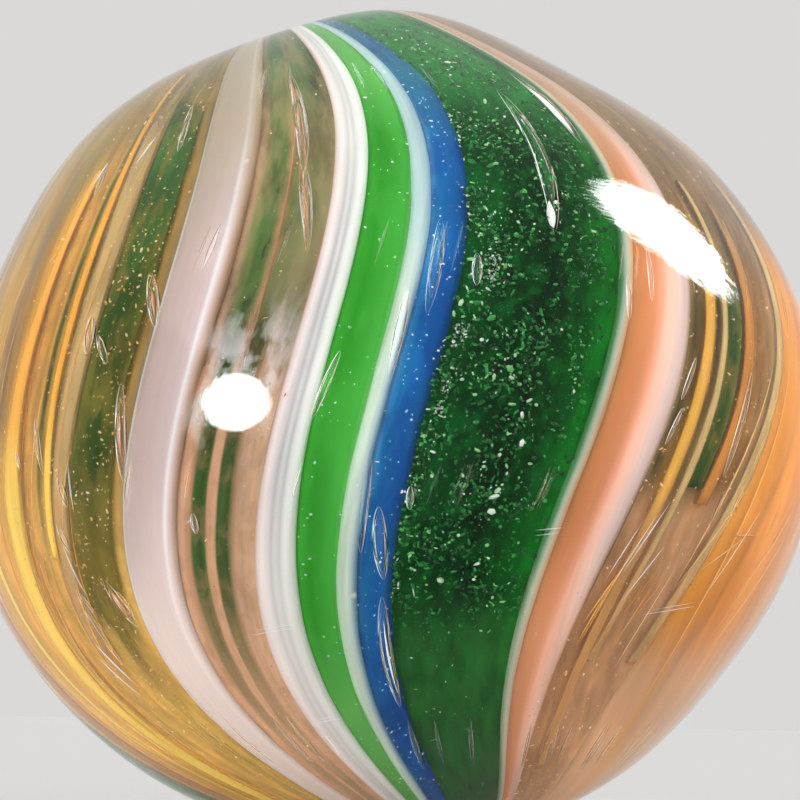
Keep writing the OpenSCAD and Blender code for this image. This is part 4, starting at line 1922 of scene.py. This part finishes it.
@dataclass(frozen=True)
class Lamp:
    """A far, soft lamp, too soft to be made out in the glass."""

    name: str
    # Direction that it stands in, in degrees round from -Y and up from the floor
    azimuth: float
    height: float
    # How brightly it lights a surface that faces it, where 1 is plain light
    level: float
    softness: float = 50.0

    def on_floor(self) -> float:
        """Returns how brightly it lights the floor."""
        return self.level * math.sin(math.radians(self.height))

    def build(self) -> None:
        """Builds the lamp, facing the ball."""
        az, up = math.radians(self.azimuth), math.radians(self.height)
        back = Vector((math.sin(az) * math.cos(up), -math.cos(az) * math.cos(up), math.sin(up)))
        data = bpy.data.lights.new(self.name, "SUN")
        data.angle = math.radians(self.softness)
        data.energy = self.level * math.pi
        right = Vector((0, 0, 1)).cross(back).normalized()
        stand = posed(right, back.cross(right), back, back)
        put_up(self.name, data, stand, "camera", "glossy", "transmission")


@dataclass(frozen=True)
class Studio:
    """The pale floor, the pale surroundings and the lamps."""

    lamps: tuple[Lamp, ...] = (
        Lamp("left_lamp", -68, 8, 0.4),
        Lamp("right_lamp", 78, 14, 0.24),
        Lamp("rear_lamp", 195, 42, 0.26),
    )
    softboxes: tuple[Softbox, ...] = (
        Softbox("round_softbox", (191, 402), (279, 402), 76, 90.0, 0.04, soft=0.72, ring=0.02),
        Softbox("long_softbox", (584, 174), (742, 284), 46, 85.0, soft=0.4, ragged=0.8),
    )
    glow: Glow = Glow()
    floor_radius: float = 6.0
    floor_sides: int = 96
    floor_roughness: float = 0.9
    air_colour: str = "dad9d8"
    fill: float = 0.55

    def build(self, camera: Camera, ball: Ball) -> None:
        """Builds the floor, the world and the lamps.

        Args:
            camera: the camera, for which the softboxes are placed.
            ball: the ball that mirrors them.
        """
        self.build_floor()
        self.build_world()
        for lamp in self.lamps:
            lamp.build()
        self.glow.build()
        for box in self.softboxes:
            box.build(camera, ball)
        bpy.context.scene.view_settings.view_transform = "Standard"

    def build_floor(self) -> None:
        """Builds the floor, a wide round sheet that the ball rests on."""
        low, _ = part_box(NODE)
        turns = [2 * math.pi * i / self.floor_sides for i in range(self.floor_sides)]
        ring = [(self.floor_radius * math.cos(a), self.floor_radius * math.sin(a), low.z) for a in turns]
        mesh = bpy.data.meshes.new("floor")
        mesh.from_pydata(ring, [], [tuple(range(self.floor_sides))])
        floor = bpy.data.objects.new("floor", mesh)
        bpy.context.scene.collection.objects.link(floor)
        material = bpy.data.materials.new("floor_paper")
        make = cleared(material)
        # The floor comes out as pale as the air behind it, so that the two meet without a line
        light = self.fill + sum(lamp.on_floor() for lamp in self.lamps)
        paper = (*(channel / light for channel in linear(self.air_colour)[:3]), 1.0)
        surface = {"Base Color": paper, "Roughness": self.floor_roughness, "Specular IOR Level": 0.0}
        shader = make.add("ShaderNodeBsdfPrincipled", surface)
        make.add("ShaderNodeOutputMaterial", {"Surface": shader.outputs[0]})
        mesh.materials.append(material)

    def build_world(self) -> None:
        """Builds soft light from all round, which camera, mirrored and bent rays see as pale air."""
        world = bpy.data.worlds.new("studio")
        bpy.context.scene.world = world
        make = cleared(world)
        rays = make.add("ShaderNodeLightPath").outputs
        seen = make.math("MAXIMUM", rays["Is Camera Ray"], rays["Is Glossy Ray"])
        seen = make.math("MAXIMUM", seen, rays["Is Transmission Ray"])
        pale = make.add("ShaderNodeBackground", {"Color": linear(self.air_colour), "Strength": 1.0})
        soft = make.add("ShaderNodeBackground", {"Color": WHITE, "Strength": self.fill})
        mixed = make.add("ShaderNodeMixShader", {0: seen, 1: soft.outputs[0], 2: pale.outputs[0]})
        make.add("ShaderNodeOutputWorld", {"Surface": mixed.outputs[0]})


def main() -> None:
    """Builds the marble and its studio."""
    logging.basicConfig(level=logging.INFO, format="%(name)s: %(message)s")
    ball = Ball()
    shared = Patterns.build()
    Skin(ball).build(shared)
    for kind, pieces in ((Band, BANDS), (Scatter, CHIPS), (Drawn, all_threads(ball))):
        tree = kind.tree(ball)
        for piece in pieces:
            piece.build(tree, shared)
    camera = Camera()
    camera.build(ball)
    Studio().build(camera, ball)


if __name__ == "__main__":
    main()
